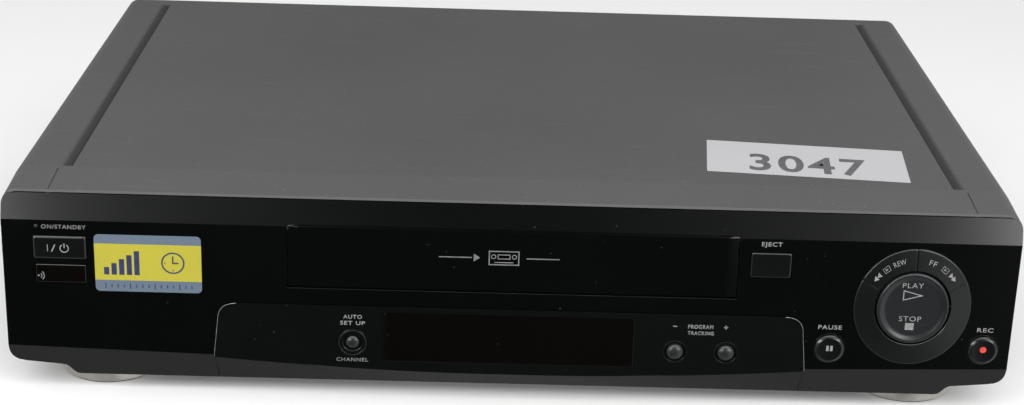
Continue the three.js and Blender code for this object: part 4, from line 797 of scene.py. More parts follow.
def turned(profile, steps=64, start=0.0, sweep=360):
    """Turns (radius, depth) points into a skin. Angles run from the picture's right side upward."""
    shape = bmesh.new()
    points = [shape.verts.new((radius, depth, 0)) for radius, depth in profile]
    for pair in zip(points, points[1:]):
        shape.edges.new(pair)
    spun(tipped(shape, -start, "Y"), (0, -1, 0), sweep, steps)
    bmesh.ops.remove_doubles(shape, verts=shape.verts, dist=WELD)
    if sweep != 360:
        bmesh.ops.holes_fill(shape, edges=shape.edges, sides=0)
    bmesh.ops.recalc_face_normals(shape, faces=shape.faces)
    return shape


def moved(shape, x=0.0, y=0.0, z=0.0):
    bmesh.ops.translate(shape, vec=(x, y, z), verts=shape.verts)
    return shape


def stem(front, end=STEM_END):
    """The pin that passes a press on to the switch."""
    return turned([(0, front), (STEM_RADIUS, front), (STEM_RADIUS, end), (0, end)], 24)


def joined(shape, *others):
    """Adds other shapes to the first one."""
    for other in others:
        mesh = bpy.data.meshes.new("joined")
        other.to_mesh(mesh)
        other.free()
        shape.from_mesh(mesh)
        bpy.data.meshes.remove(mesh)
    return shape


def arch(radius, front, rise, steps=6):
    """The rounded front of a domed cap, from its middle to its side."""
    turns = [math.radians(90 * i / steps) for i in range(steps + 1)]
    return [(radius * math.sin(turn), front + rise * (1 - math.cos(turn))) for turn in turns]


print("a sample pin has", len(stem(0).faces), "faces")

# %% [markdown]
# Five keys are round. Pause and record are flat caps with a shallow dish and a sloping border, which
# catches a bright arc at the top and a crescent below. Set-up and the two programme keys are domes.
# Behind the wall each has a flange that stops it and a stem to its switch, all in one profile.

# %% The round keys
EASY_EDGE = 0.15
SLIGHT = 0.01


def key_back(radius, wall_back):
    flange = wall_back + CLEARANCE
    wide = radius + FLANGE_GROWTH
    end = flange + FLANGE_THICKNESS
    return [(radius, flange), (wide, flange), (wide, end), (STEM_RADIUS, end), (STEM_RADIUS, STEM_END),
            (0, STEM_END)]


def round_key(node, cap, radius, wall_back, x, z, finish, rim=0.0):
    shape = turned(cap + key_back(radius, wall_back))
    if rim:
        front = min(depth for _, depth in cap)
        round_edges(shape, ahead_of(front + SLIGHT, sharp_edges(shape)), rim, 5)
    round_edges(shape, sharp_edges(shape), EASY_EDGE)
    moved(shape, x, FACE, z)
    finish_piece(f"{node}_cap", shape, finish, BODY_OF[node], "button_satin", [node])


FLAT_RADIUS = 6.4
DOME_RADIUS = 3.65
FLAT_CAP = [(0, -1.28), (4.1, -1.32), (4.9, -1.4), (5.3, -1.4), (FLAT_RADIUS, -0.75)]
PANEL_BACK = 2.5
INSERT_BACK = 1.9
KEY_PLACES = {
    "pause": (137.1, 31.7), "record": (203.5, 32.7), "setup": (-67.8, 29.2),
    "program_down": (70.6, 28.5), "program_up": (92.6, 28.5),
}
for key in ("pause", "record"):
    round_key(f"{key}_button", FLAT_CAP, FLAT_RADIUS, PANEL_BACK, *KEY_PLACES[key], key_gloss, 0.3)
round_key("setup_button", arch(3.1, -1.8, 1.5), 3.1, INSERT_BACK, *KEY_PLACES["setup"], key_satin)
for key in ("program_down", "program_up"):
    dome = arch(DOME_RADIUS, -2.2, 1.7)
    round_key(f"{key}_button", dome, DOME_RADIUS, INSERT_BACK, *KEY_PLACES[key], key_satin)
print("round keys", len(KEY_PLACES))

# %% [markdown]
# The power and eject keys are flat rectangles whose four front edges slope back before they drop.
# Those slopes are wide enough to catch the white above and below as two bright lines. The CAD key is
# copied, cut round just behind its front and its front face drawn in, then the corners are rounded.

# %% The two rectangular keys
def all_of(shape):
    return shape.verts[:] + shape.edges[:] + shape.faces[:]


def sloped_key(node, slope, depth):
    shape = merged_copy(node)
    face = node_box(node)[0].y
    cap = [v.co for v in shape.verts if v.co.y < face + HAIR]
    centre = sum(cap, Vector()) / len(cap)
    half = [max(abs(place[i] - centre[i]) for place in cap) for i in (0, 2)]
    cut = (0, face + depth, 0)
    bmesh.ops.bisect_plane(shape, geom=all_of(shape), plane_co=cut, plane_no=(0, 1, 0))
    front = [v for v in shape.verts if v.co.y < face + HAIR]
    shrink = ((half[0] - slope) / half[0], 1, (half[1] - slope) / half[1])
    bmesh.ops.scale(shape, vec=shrink, space=Matrix.Translation(-centre), verts=front)
    edges = ahead_of(face + depth + HAIR, sharp_edges(shape, math.radians(20)))
    print(node, "front edges", round_edges(shape, edges, 0.3, 3))
    finish_piece(f"{node}_cap", shape, key_gloss, BODY_OF[node], "button_satin", [node])


sloped_key("power_button", 0.8, 0.45)
sloped_key("eject_button", 0.45, 0.45)

# %% [markdown]
# Thin moulded rims stand round the small keys. Pause, record and the programme keys have a mere
# raised edge. The set-up key stands in a shallow bowl that slopes in towards it. Each rim is its own
# ring on the wall, whose highest line lies a quarter of its width in from the outside.

# %% Rims round the keys
INSERT_STEP = INSERT_FACE - FACE
RIM_FOOT = 0.25
RIM_DROP = 0.1
CREST_SHARE = 0.25
RIMS = [
    ("pause", 6.7, 7.0, 0.0, 0.1, panel_finish),
    ("record", 6.7, 7.0, 0.0, 0.1, panel_finish),
    ("setup", 4.15, 6.05, INSERT_STEP, 0.85, ring_satin),
    ("program_down", 4.85, 5.15, INSERT_STEP, 0.1, insert_finish),
    ("program_up", 4.85, 5.15, INSERT_STEP, 0.1, insert_finish),
]
for key, inner, outer, wall, height, finish in RIMS:
    front = wall - height
    back = wall + RIM_FOOT
    crest = outer - (outer - inner) * CREST_SHARE
    start = (inner, wall - HAIR)
    rim = turned([start, (crest, front), (outer, front + RIM_DROP), (outer, back), (inner, back), start])
    round_edges(rim, ahead_of(back - SLIGHT, sharp_edges(rim, math.radians(12))), 0.06, 3)
    x, z = KEY_PLACES[key]
    finish_piece(f"{key}_rim", moved(rim, x, FACE, z), finish, "casing", "button_satin")
print("rims", len(RIMS))

# %% [markdown]
# The transport ring is an upright oval. It is turned as a round ring first, with true roundings on
# its edges, and each point is then moved along its own radius onto the oval. Two upper sectors are
# keys of their own and the rest is fixed, so the ring is turned in three sweeps with fine gaps.

# %% The transport ring and its two keys
RING_X = 171.0
RING_Z = 52.2
RING_INNER = 16.7
RING_OUTER = 26.1
RING_FRONT = -1.6
RING_RIM = -0.75
SEAM_DEGREES = 0.41
RING_ROUND = {"width": (16.3, 25.2), "height": (17.1, 27.0)}


def onto_oval(shape):
    """Moves a turned round ring onto the upright oval one."""
    for vert in shape.verts:
        radius = math.hypot(vert.co.x, vert.co.z)
        share = (radius - RING_INNER) / (RING_OUTER - RING_INNER)
        across, upward = (low + (high - low) * share for low, high in RING_ROUND.values())
        vert.co.x *= across / radius
        vert.co.z *= upward / radius
    return moved(shape, RING_X, FACE, RING_Z)


def ring_part(start, end):
    flange = RING_OUTER + FLANGE_GROWTH
    rounding = [(0.7, 0.0), (0.4, 0.06), (0.16, 0.2), (0.03, 0.4), (0.0, 0.6)]
    section = [(RING_INNER, RING_FRONT + 0.3), (RING_INNER + 0.08, RING_FRONT + 0.12)]
    section += [(RING_INNER + 0.3, RING_FRONT)]
    section += [(RING_OUTER - inward, RING_RIM + depth) for inward, depth in rounding]
    section += [(RING_OUTER, 2.8), (flange, 2.8), (flange, 4.0), (RING_INNER, 4.0), section[0]]
    shape = turned(section, int((end - start) / 2.5), start, end - start)
    ends = [e for e in sharp_edges(shape) if len({f.normal.y > 0.5 for f in e.link_faces}) == 1]
    front = [e for e in ends if any(v.co.y < 0 for v in e.verts) and e.calc_length() < 10]
    round_edges(shape, front, 0.12)
    return shape


def sector_key(node, start, end):
    shape = ring_part(start, end)
    middle = math.radians((start + end) / 2)
    radius = (RING_INNER + RING_OUTER) / 2
    joined(shape, moved(stem(PANEL_BACK), radius * math.cos(middle), 0, radius * math.sin(middle)))
    finish_piece(f"{node}_sector", onto_oval(shape), ring_satin, BODY_OF[node], "button_satin", [node])


KEY_END = 27
fixed_ring = onto_oval(ring_part(180 - KEY_END, 360 + KEY_END))
finish_piece("transport_ring_arc", fixed_ring, ring_satin, "casing", "button_satin", ["transport_ring"])
sector_key("rewind_button", 90 + SEAM_DEGREES, 180 - KEY_END - SEAM_DEGREES)
sector_key("forward_button", KEY_END + SEAM_DEGREES, 90 - SEAM_DEGREES)
print("ring parts", 3)

# %% [markdown]
# The play and stop disc rocks on two pins. Its face lies a little lower than its rim, and the rim
# is rounded over, which is what gives the two bright crescents low down. The face could be a
# separate insert on the real part, but the photograph shows no gap, so it is one profile.

# %% The rocking disc
DISC_RADIUS = 16.05
DISC_OVAL = (15.6, 16.5)
DISC_FACE = -1.45
DISC_BACK = 3.0
DISC_SECTION = [
    (0, DISC_FACE), (12.0, DISC_FACE), (12.6, -1.5), (13.2, -1.68), (13.8, -1.91), (14.4, -2.12),
    (14.9, -2.2), (15.35, -2.12), (15.7, -1.86), (15.94, -1.45), (DISC_RADIUS, -0.9),
    (DISC_RADIUS, DISC_BACK), (0, DISC_BACK),
]
SWITCH_OFFSET = 10
SWITCH_DEPTH = 8.2
PIN_RADIUS = 0.8
PIN_LENGTH = 34.4
PIN_DEPTH = 1.5


def rocking_disc():
    shape = turned(DISC_SECTION, 96)
    squeeze = (DISC_OVAL[0] / DISC_RADIUS, 1, DISC_OVAL[1] / DISC_RADIUS)
    bmesh.ops.scale(shape, vec=squeeze, verts=shape.verts)
    for z in (-SWITCH_OFFSET, SWITCH_OFFSET):
        joined(shape, moved(stem(2.7, SWITCH_DEPTH), 0, 0, z))
    lying = Matrix.Translation((0, PIN_DEPTH, 0)) @ Matrix.Rotation(math.radians(90), 4, "Y")
    bmesh.ops.create_cone(
        shape, cap_ends=True, segments=16, radius1=PIN_RADIUS, radius2=PIN_RADIUS, depth=PIN_LENGTH,
        matrix=lying,
    )
    return moved(shape, RING_X, FACE, RING_Z)


disc = rocking_disc()
print("disc faces", len(disc.faces))
disc_body = BODY_OF["play_stop_disc"]
finish_piece("play_stop_dish", disc, dial_satin, disc_body, "button_satin", ["play_stop_disc"])

# %% [markdown]
# The four feet are satin silver cups with a black rubber ring underneath. Both are turned round an
# upright axis: the same turning as the keys, then a quarter turn.

# %% Feet
FOOT_X = 177.5
FOOT_ROWS = {"front": -109.9, "rear": 106.1}
CUP_RADIUS = 22.5
CUP_TOP = 7.4
CUP = [
    (0, 1.1), (15.7, 1.1), (16.0, 0.9), (16.0, 0.6), (21.5, 0.6), (22.1, 0.85), (22.42, 1.4),
    (CUP_RADIUS, 2.1), (CUP_RADIUS, 6.7), (22.4, 7.05), (22.1, 7.3), (21.7, CUP_TOP), (0, CUP_TOP),
]
PAD = [(16.2, 0.65), (16.2, 0.15), (16.4, 0.0), (21.0, 0.0), (21.35, 0.2), (21.4, 0.65), (16.2, 0.65)]
FOOT_PARTS = {"cup": (CUP, foot_silver, "foot_silver"), "pad": (PAD, roller_rubber, "roller_rubber")}
for row, y in FOOT_ROWS.items():
    for side, x in (("left", -FOOT_X), ("right", FOOT_X)):
        node = f"foot_{row}_{side}"
        for part, (profile, finish, slot) in FOOT_PARTS.items():
            shape = moved(tipped(turned(profile, 96), 90, "X"), x, y)
            finish_piece(f"{node}_{part}", shape, finish, "casing", slot, [node] if part == "cup" else ())
print("feet", 2 * len(FOOT_ROWS))

# %% [markdown]
# The top cover is one folded sheet. Its cross-section is drawn as a line, pulled back through the
# places where something changes, and then pressed: the front band drops, each groove sinks along a
# ramp to a steep inner wall, and a fine slit runs ahead of it. A subdivided plate with a boolean
# groove would leave ragged shading, so the rows and columns are put where the folds are.

# %% The top cover's sheet
COVER_TOP_MM = 96.0
COVER_SIDE = 215.0
COVER_END = 287
BEND = 6.5
BEND_X = COVER_SIDE - BEND
GROOVE_FRONT = 26.8
GROOVE_BACK = 279.6
GROOVE_IN = 190.0
GROOVE_OUT = 195.2
GROOVE_DEPTH = 2.4
SLIT = (195.25, 195.75)
SLIT_ENDS = (4.4, 24.5)
SLIT_DEPTH = 0.45
BAND_END = 26
BAND_FROM = 3.5
BAND_DROP = 1.8
STILL_BELOW = 60
FADE_HEIGHT = 30
FRONT_RAMP = 0.4
BACK_RAMP = 0.6
REAR_FLANGE = 12
SHEET = 1.2
COVER_ROWS = [BAND_FROM, 3.9, 4.3, 4.5, 24.4, 24.6, 25.6, 26.2, GROOVE_FRONT, 27.2, 28.2, 29.4, 60, 120, 180,
              240, 276, 278, 279, GROOVE_BACK, 284, COVER_END]
ACROSS = [0, 40, 80, 120, 160, 186, 189.2, 189.9, 190.1, 190.9, 192.4, 193.9, 195.0, GROOVE_OUT, 195.3,
          195.7, 195.8, 197.5, 203, BEND_X]
SIDE_HEIGHTS = [86, 70, 50, 34, 22]


def half_section():
    """Half the cover's outline, from its middle over the top to its lower edge."""
    turns = [math.radians(90 - 9 * i) for i in range(1, 11)]
    low = COVER_TOP_MM - BEND
    bend = [(BEND_X + BEND * math.cos(turn), low + BEND * math.sin(turn)) for turn in turns]
    return [(x, COVER_TOP_MM) for x in ACROSS] + bend + [(COVER_SIDE, z) for z in SIDE_HEIGHTS]


def pressed_depth(across, y):
    """How far the sheet is pressed down at a place: in a groove, or in the slit ahead of it."""
    if GROOVE_FRONT < y < GROOVE_BACK and GROOVE_IN < across < GROOVE_OUT:
        ramp = GROOVE_DEPTH * (GROOVE_OUT - across) / (GROOVE_OUT - GROOVE_IN)
        return ramp * min(1, (y - GROOVE_FRONT) / FRONT_RAMP, (GROOVE_BACK - y) / BACK_RAMP)
    if SLIT_ENDS[0] < y < SLIT_ENDS[1] and SLIT[0] < across < SLIT[1]:
        return SLIT_DEPTH
    return 0.0


def pulled(shape, edges, x, y, z):
    """Pulls a row of edges into new faces, and gives the row at their far side."""
    grown = bmesh.ops.extrude_edge_only(shape, edges=edges)["geom"]
    fresh = {item for item in grown if isinstance(item, bmesh.types.BMVert)}
    bmesh.ops.translate(shape, vec=(x, y, z), verts=list(fresh))
    return [item for item in grown if isinstance(item, bmesh.types.BMEdge) and fresh.issuperset(item.verts)]


def cover_sheet():
    shape = bmesh.new()
    half = half_section()
    line = [(-x, z) for x, z in reversed(half[1:])] + half
    points = [shape.verts.new((x, COVER_ROWS[0], z)) for x, z in line]
    for pair in zip(points, points[1:]):
        shape.edges.new(pair)
    row = shape.edges[:]
    for here, following in zip(COVER_ROWS, COVER_ROWS[1:]):
        row = pulled(shape, row, 0, following - here, 0)
    top = [e for e in row if all(abs(v.co.x) < BEND_X + 0.1 and v.co.z > COVER_TOP_MM - 1 for v in e.verts)]
    pulled(shape, top, 0, 0, -REAR_FLANGE)
    for vert in shape.verts:
        x, y, z = vert.co
        drop = BAND_DROP * max(0.0, BAND_END - y) / (BAND_END - BAND_FROM)
        pressed = pressed_depth(abs(x), y) if z > COVER_TOP_MM - 0.1 else 0
        vert.co.z -= drop * min(1.0, max(0.0, (z - STILL_BELOW) / FADE_HEIGHT)) + pressed
    bmesh.ops.recalc_face_normals(shape, faces=shape.faces)
    upward = max(shape.faces, key=lambda face: face.calc_area())
    if upward.normal.z < 0:
        bmesh.ops.reverse_faces(shape, faces=shape.faces)
    bmesh.ops.solidify(shape, geom=shape.faces[:], thickness=SHEET)
    return moved(shape, 0, FACE, 0)


sheet = cover_sheet()
rim = [e for e in sharp_edges(sheet, math.radians(60)) if e.calc_length() > 0.5]
print("cover edges rounded", round_edges(sheet, rim, 0.22, 3))
finish_piece("top_cover_sheet", sheet, cover_paint, "casing", "casing_paint", ["top_cover"])

# %% [markdown]
# The standby lamp is a two-millimetre lens, unlit in the photograph. A small dome in front of a
# short barrel is all that shows.

# %% Standby lamp
LAMP_X = -200.5
LAMP_Z = 78.9
lens = turned(arch(0.9, -0.3, 0.5, 5) + [(0.9, 2.0), (1.5, 2.0), (1.5, 6.0), (0, 6.0)], 32)
moved(lens, LAMP_X, FACE, LAMP_Z)
finish_piece("standby_lens", lens, lamp_lens, BODY_OF["standby_led"], "lamp_lens", ["standby_led"])
print("lamp at", LAMP_X, LAMP_Z)

# %% [markdown]
# Printing has a thickness, if only that of the ink. Words, signs and ornaments are drawn flat, given
# a few hundredths of a millimetre, and then laid where they belong: upright on the front, bent along
# the ring, or flat on the label. An image texture could hold them too, but shapes stay crisp at any
# distance and go with the key that carries them.

# %% Flat shapes for the printing
INK = 0.03
LETTER_GAP = 1.14
FINE_WELD = 0.0001


def letters(text, bold):
    """The outline of a word in Blender's own letters, as a flat mesh."""
    curve = bpy.data.curves.new("letters", "FONT")
    curve.body = text
    curve.offset = bold
    curve.resolution_u = 4
    curve.space_character = LETTER_GAP
    holder = bpy.data.objects.new("letters", curve)
    mesh = bpy.data.meshes.new_from_object(holder)
    shape = bmesh.new()
    shape.from_mesh(mesh)
    bpy.data.objects.remove(holder)
    bpy.data.curves.remove(curve)
    bpy.data.meshes.remove(mesh)
    bmesh.ops.remove_doubles(shape, verts=shape.verts, dist=FINE_WELD)
    return shape


def span(shape, axis):
    places = [v.co[axis] for v in shape.verts]
    return min(places), max(places)


CAPITAL = span(letters("E", 0.0), 1)[1]


def words(text, width, height, bold=0.0):
    """Letters as a flat shape round the origin, as wide as asked and with capitals as high."""
    shape = letters(text, bold)
    low, high = span(shape, 0)
    moved(shape, -(low + high) / 2, -CAPITAL / 2, 0)
    bmesh.ops.scale(shape, vec=(width / (high - low), height / CAPITAL, 1), verts=shape.verts)
    return shape


def slab(width, height):
    shape = bmesh.new()
    bmesh.ops.create_grid(shape, x_segments=1, y_segments=1, size=0.5)
    bmesh.ops.scale(shape, vec=(width, height, 1), verts=shape.verts)
    return shape


def spot(radius, sides=40):
    shape = bmesh.new()
    bmesh.ops.create_circle(shape, cap_ends=True, segments=sides, radius=radius)
    return shape


def arrow(width, height):
    """A triangle that points to the right, where x grows."""
    shape = tipped(spot(1, 3), -90, "Z")
    (left, right), (low, high) = span(shape, 0), span(shape, 1)
    moved(shape, -(left + right) / 2, -(low + high) / 2, 0)
    bmesh.ops.scale(shape, vec=(width / (right - left), height / (high - low), 1), verts=shape.verts)
    return shape


def outlined(shape, line):
    """Keeps only the border of a flat shape."""
    bmesh.ops.inset_region(
        shape, faces=shape.faces[:], thickness=line, use_boundary=True, use_even_offset=True
    )
    inner = [face for face in shape.faces if not any(e.is_boundary for e in face.edges)]
    bmesh.ops.delete(shape, geom=inner, context="FACES")
    return shape


def bow(radius, line, start=0, sweep=360):
    """A thin circle, or the part of one from an angle on through a sweep."""
    shape = bmesh.new()
    ends = [shape.verts.new((radius + way * line / 2, 0, 0)) for way in (-1, 1)]
    shape.edges.new(ends)
    spun(tipped(shape, start, "Z"), (0, 0, 1), sweep, 40)
    bmesh.ops.remove_doubles(shape, verts=shape.verts, dist=FINE_WELD)
    return shape


print("capital height", round(CAPITAL, 3))

# %% [markdown]
# A drawing is laid on with a map: a function that turns a flat place into a place on the machine.
# Each surface has its own, so one helper prints on all of them. A Shrinkwrap modifier would also
# press a drawing onto a surface, but not with an even thickness.

# %% Laying the printing on the front, the ring and the label
def on_front(x, depth, z):
    """A map from a flat drawing to the front, centred on x and z."""
    return lambda place: Vector((x + place.x, FACE + depth - place.z, z + place.y))


def on_ring(middle_degrees):
    """A map that bends a drawing along the ring's sloping face, reading clockwise."""
    radius = (RING_INNER + RING_OUTER) / 2
    ratio = [sum(ends) / 2 / radius for ends in RING_ROUND.values()]
    slope = (RING_RIM - RING_FRONT) / (RING_OUTER - RING_INNER - 1.0)

    def bend(place):
        turn = math.radians(middle_degrees) - place.x / radius
        far = radius + place.y
        depth = RING_FRONT + slope * (far - RING_INNER - 0.3)
        x = RING_X + far * ratio[0] * math.cos(turn)
        return Vector((x, FACE + depth - place.z, RING_Z + far * ratio[1] * math.sin(turn)))

    return bend


def on_label(degrees, x, y, height):
    turn = Matrix.Rotation(math.radians(degrees), 3, "Z")
    return lambda place: turn @ place + Vector((x, y, height))


def print_on(name, shape, place, finish, carrier, slot="paper_label", thickness=INK):
    """Gives a flat drawing its thickness and lays it on what carries it."""
    for face in shape.faces:
        if face.normal.z < 0:
            face.normal_flip()
    shape.normal_update()
    bmesh.ops.solidify(shape, geom=shape.faces[:], thickness=-thickness)
    for vert in shape.verts:
        vert.co = place(vert.co)
    bmesh.ops.recalc_face_normals(shape, faces=shape.faces)
    return finish_piece(name, shape, finish, BODY_OF[carrier], slot)


print("ink thickness in millimetres", INK)

# %% [markdown]
# The words are the plain ones that tell what a key does, as ON and OFF would on a switch. They are
# grouped by how deep they lie, what carries them and their ink. Each row gives a name, the letters,
# their width and height, and where their middle lies on the front.

# %% The words of the front
SMALL_BOLD = 0.012
ON_CAP = -1.31
WORDS = [
    (0, "front_panel", light_print, [("eject", "EJECT", 8.8, 1.85, 109.0, 79.4)]),
    (0, "front_panel", dim_print, [("standby", "ON/STANDBY", 18.6, 1.75, -188.9, 78.85)]),
    (0, "front_panel", light_print, [
        ("pause", "PAUSE", 10.2, 1.9, 136.7, 41.6),
        ("record", "REC", 7.0, 1.9, 203.6, 42.0),
    ]),
    (INSERT_STEP, "control_insert", light_print, [
        ("auto", "AUTO", 8.0, 1.75, -67.8, 41.1),
        ("set_up", "SET UP", 10.6, 1.75, -67.8, 38.2),
    ]),
    (INSERT_STEP, "control_insert", dim_print, [("channel", "CHANNEL", 13.6, 1.6, -67.9, 20.9)]),
    (INSERT_STEP, "control_insert", light_print, [
        ("program", "PROGRAM", 10.8, 1.75, 81.1, 40.5),
        ("tracking", "TRACKING", 11.2, 1.6, 81.3, 37.5),
    ]),
]
for depth, carrier, ink, rows in WORDS:
    for name, letter_row, width, height, x, z in rows:
        shape = words(letter_row, width, height, SMALL_BOLD)
        print_on(f"word_{name}", shape, on_front(x, depth, z), ink, carrier)
print("groups of words on the front", len(WORDS))

# %% [markdown]
# Signs are put together from bars, spots, arrows and bows. The two large words on the disc are not
# emboldened, as the small ones are. The signs on the keys lie on the keys' own faces and ride on them.

# %% The signs of the front
SIGNS = [
    ("sign_minus", slab(1.7, 0.4), 70.1, INSERT_STEP, 40.5, "control_insert"),
    ("sign_plus", joined(slab(1.8, 0.42), slab(0.42, 1.8)), 92.0, INSERT_STEP, 40.5, "control_insert"),
    ("word_play", words("PLAY", 9.0, 2.3), 170.2, DISC_FACE, 62.7, "play_stop_disc"),
    ("sign_play", outlined(arrow(8.8, 4.9), 0.42), 170.7, DISC_FACE, 58.1, "play_stop_disc"),
    ("word_stop", words("STOP", 9.6, 2.3), 170.3, DISC_FACE, 47.2, "play_stop_disc"),
    ("sign_stop", slab(3.7, 3.2), 170.3, DISC_FACE, 43.6, "play_stop_disc"),
    ("sign_pause", joined(moved(slab(1.1, 2.5), -0.85), moved(slab(1.1, 2.5), 0.85)),
     137.0, ON_CAP, 32.2, "pause_button"),
    ("sign_record", spot(1.45), 203.3, ON_CAP, 33.3, "record_button"),
    ("sign_power", joined(moved(slab(0.3, 3.1), -4.6), moved(words("/", 2.0, 3.2), -2.2),
                          moved(bow(1.75, 0.42, 120, 300), 2.4), moved(slab(0.42, 2.2), 2.4, 1.2)),
     -191.2, -1.0, 69.5, "power_button"),
]
for name, shape, x, depth, z, carrier in SIGNS:
    ink = red_print if name == "sign_record" else light_print
    print_on(name, shape, on_front(x, depth, z), ink, carrier)
print("signs on the front", len(SIGNS))

# %% [markdown]
# The ring's two keys carry a double arrow, a small framed arrow for searching while the picture
# runs, and a word. They are drawn flat and bent along the ring. The remote window shows a dot with
# two arcs, which is plain for a beam.

# %% Signs on the ring keys and on the remote window
def double_arrow(way):
    pair = joined(moved(arrow(2.0, 2.4), -1.0), moved(arrow(2.0, 2.4), 1.0))
    return tipped(pair, 0 if way > 0 else 180, "Z")


def search_sign():
    return joined(outlined(slab(3.1, 2.5), 0.25), moved(arrow(1.5, 1.3), 0.05))


RING_PRINTS = [
    ("sign_rewind", double_arrow(-1), 142, light_print, "rewind_button"),
    ("sign_rewind_search", search_sign(), 127.5, dim_print, "rewind_button"),
    ("word_rewind", words("REW", 5.6, 2.2), 111, light_print, "rewind_button"),
    ("word_forward", words("FF", 3.4, 2.2), 71, light_print, "forward_button"),
    ("sign_forward_search", search_sign(), 54, dim_print, "forward_button"),
    ("sign_forward", double_arrow(1), 40.5, light_print, "forward_button"),
]
for name, shape, degrees, ink, carrier in RING_PRINTS:
    print_on(name, shape, on_ring(degrees), ink, carrier)
beam = joined(spot(0.42, 24), bow(1.3, 0.34, -48, 96), bow(2.3, 0.34, -48, 96))
print_on("sign_remote", moved(beam, -1.0), on_front(-199.3, 0, 56.4), light_print, "ir_window")
print("ring signs", len(RING_PRINTS))

# %% [markdown]
# The front sticker is yellow between two slate bands, with plain ornaments in navy: rising level
# bars, a clock face and a row of ticks. The bands are masks on height in one material, because the
# real sticker is one printed sheet.

# %% The front sticker
STICKER_LOW = 0.050
STICKER_HIGH = 0.076
SLATE = (0.071, 0.099, 0.137)
YELLOW = (0.32, 0.288, 0.0105)


def banded_sticker():
    finish = Finish("banded_sticker", coat_weight=0.4, coat_roughness=0.15)
    height = finish.axis("Z")
    tall = STICKER_HIGH - STICKER_LOW
    upper = finish.between(height, STICKER_HIGH - tall * 0.162, STICKER_HIGH - tall * 0.158)
    lower = finish.between(height, STICKER_LOW + tall * 0.202, STICKER_LOW + tall * 0.198)
    fibre = finish.noise(700, 3)
    sun = finish.noise(60, 2)
    faded = finish.mix(sun, scaled(YELLOW, 0.93), YELLOW)
    base = finish.mix(upper.highest(lower), faded, SLATE)
    finish.set(base_color=finish.mix(fibre * 0.08, base, (0.3, 0.3, 0.3)))
    finish.set(roughness=0.34 + (fibre - 0.5) * 0.1)
    return finish.bumpy(fibre * 0.000006)


banded_paper = banded_sticker()
ease("front_label", 0.06, banded_paper, "front_sticker")
LABEL_DEPTH = -0.2
BARS = [moved(slab(2.2, 3.4 + 1.9 * i), 3.2 * i - 6.4, (1.9 * i) / 2 - 3.8) for i in range(5)]
CLOCK = [bow(4.6, 0.65), moved(slab(0.6, 3.4), 0, 1.5), moved(slab(2.6, 0.6), 1.1)]
CLOCK += [moved(spot(0.32, 12), 3.4 * math.cos(a), 3.4 * math.sin(a)) for a in (math.pi, 1.5 * math.pi)]
TICKS = [moved(slab(0.45, 1.5 if i % 4 else 2.4), 2.6 * i - 18.2) for i in range(15)]
ORNAMENTS = {"bars": (BARS, -165.2, 63.2), "clock": (CLOCK, -143.6, 63.6), "ticks": (TICKS, -154.0, 52.6)}
for name, (flat, x, z) in ORNAMENTS.items():
    print_on(f"sticker_{name}", joined(*flat), on_front(x, LABEL_DEPTH, z), navy_print, "front_label")
print("sticker ornaments", len(ORNAMENTS))

# %% [markdown]
# The white label on the cover carries plain digits. They lie within the label's own 0.15 mm, so
# that nothing gets taller.

# %% The lot label on the cover
LABEL_TOP = 96.1
label = merged_copy("lot_label")
for vert in label.verts:
    vert.co.z = min(vert.co.z, LABEL_TOP)
round_edges(label, sharp_edges(label), 0.03, 1)
finish_piece("lot_label_paper", label, lot_paper, "casing", "paper_label", ["lot_label"])
lot_digits = words("3047", 52.0, 19.5, 0.02)
print_on("lot_digits", lot_digits, on_label(-5.3, 130.4, -91.6, LABEL_TOP), digit_print, "lot_label",
         thickness=0.03)
print("label top", LABEL_TOP)

# %% [markdown]
# The door carries the plain sign for a cassette: an outline with two hubs, and an arrow that says
# which way it goes in.

# %% The cassette sign on the door
CASSETTE = [
    outlined(slab(13.0, 6.6), 0.5),
    moved(outlined(slab(5.4, 2.2), 0.35), 0, 0.6),
    moved(bow(0.9, 0.35), -4.4, 0.6),
    moved(bow(0.9, 0.35), 4.4, 0.6),
    moved(slab(8.0, 0.4), 0, -2.0),
    moved(arrow(2.6, 3.6), -11.5),
    moved(slab(14.0, 0.45), -20.5),
    moved(slab(14.0, 0.45), 16.5),
]
print("shapes in the cassette sign", len(CASSETTE))
print_on("cassette_sign", joined(*CASSETTE), on_front(-4.0, 0, 69.8), dim_print, "cassette_door")

# %% [markdown]
# The back has what a living room of the time plugged in: two SCART sockets with a metal shell, a
# tongue and twenty contacts each, two sound sockets with a white and a red ring, and two threaded
# aerial sockets with nuts. All are flat drawings pulled out to a depth, seen from behind.

# %% The sockets at the back
REAR_FACE = 141.6
SOCKET_END = 144.1
SCARTS = {"scart_socket_1": -36.0, "scart_socket_2": 20.0}
SCART_Z = 24.6
JACKS = {"white": 56.5, "red": 71.5}
JACK_Z = 32.0
AERIALS = {"in": 130.0, "out": 158.0}
AERIAL_Z = 36.0
THREAD_ROOT = 4.55
THREAD_START = 1.5
THREAD_END = 4.3
sound_rings = {
    "white": moulded("sound_ring_white", (0.55, 0.55, 0.53), 0.35, dust=0.1),
    "red": moulded("sound_ring_red", (0.4, 0.02, 0.02), 0.35, dust=0.1),
}


def on_rear(x, y, z):
    """A map from a flat drawing to the back. A drawing's thickness goes outward from y."""
    return lambda place: Vector((x - place.x, y + place.z, z + place.y))


def contacts(rise):
    return [moved(slab(1.3, 0.5), 3.4 * i - 15.3 + rise * 0.4, rise) for i in range(10)]


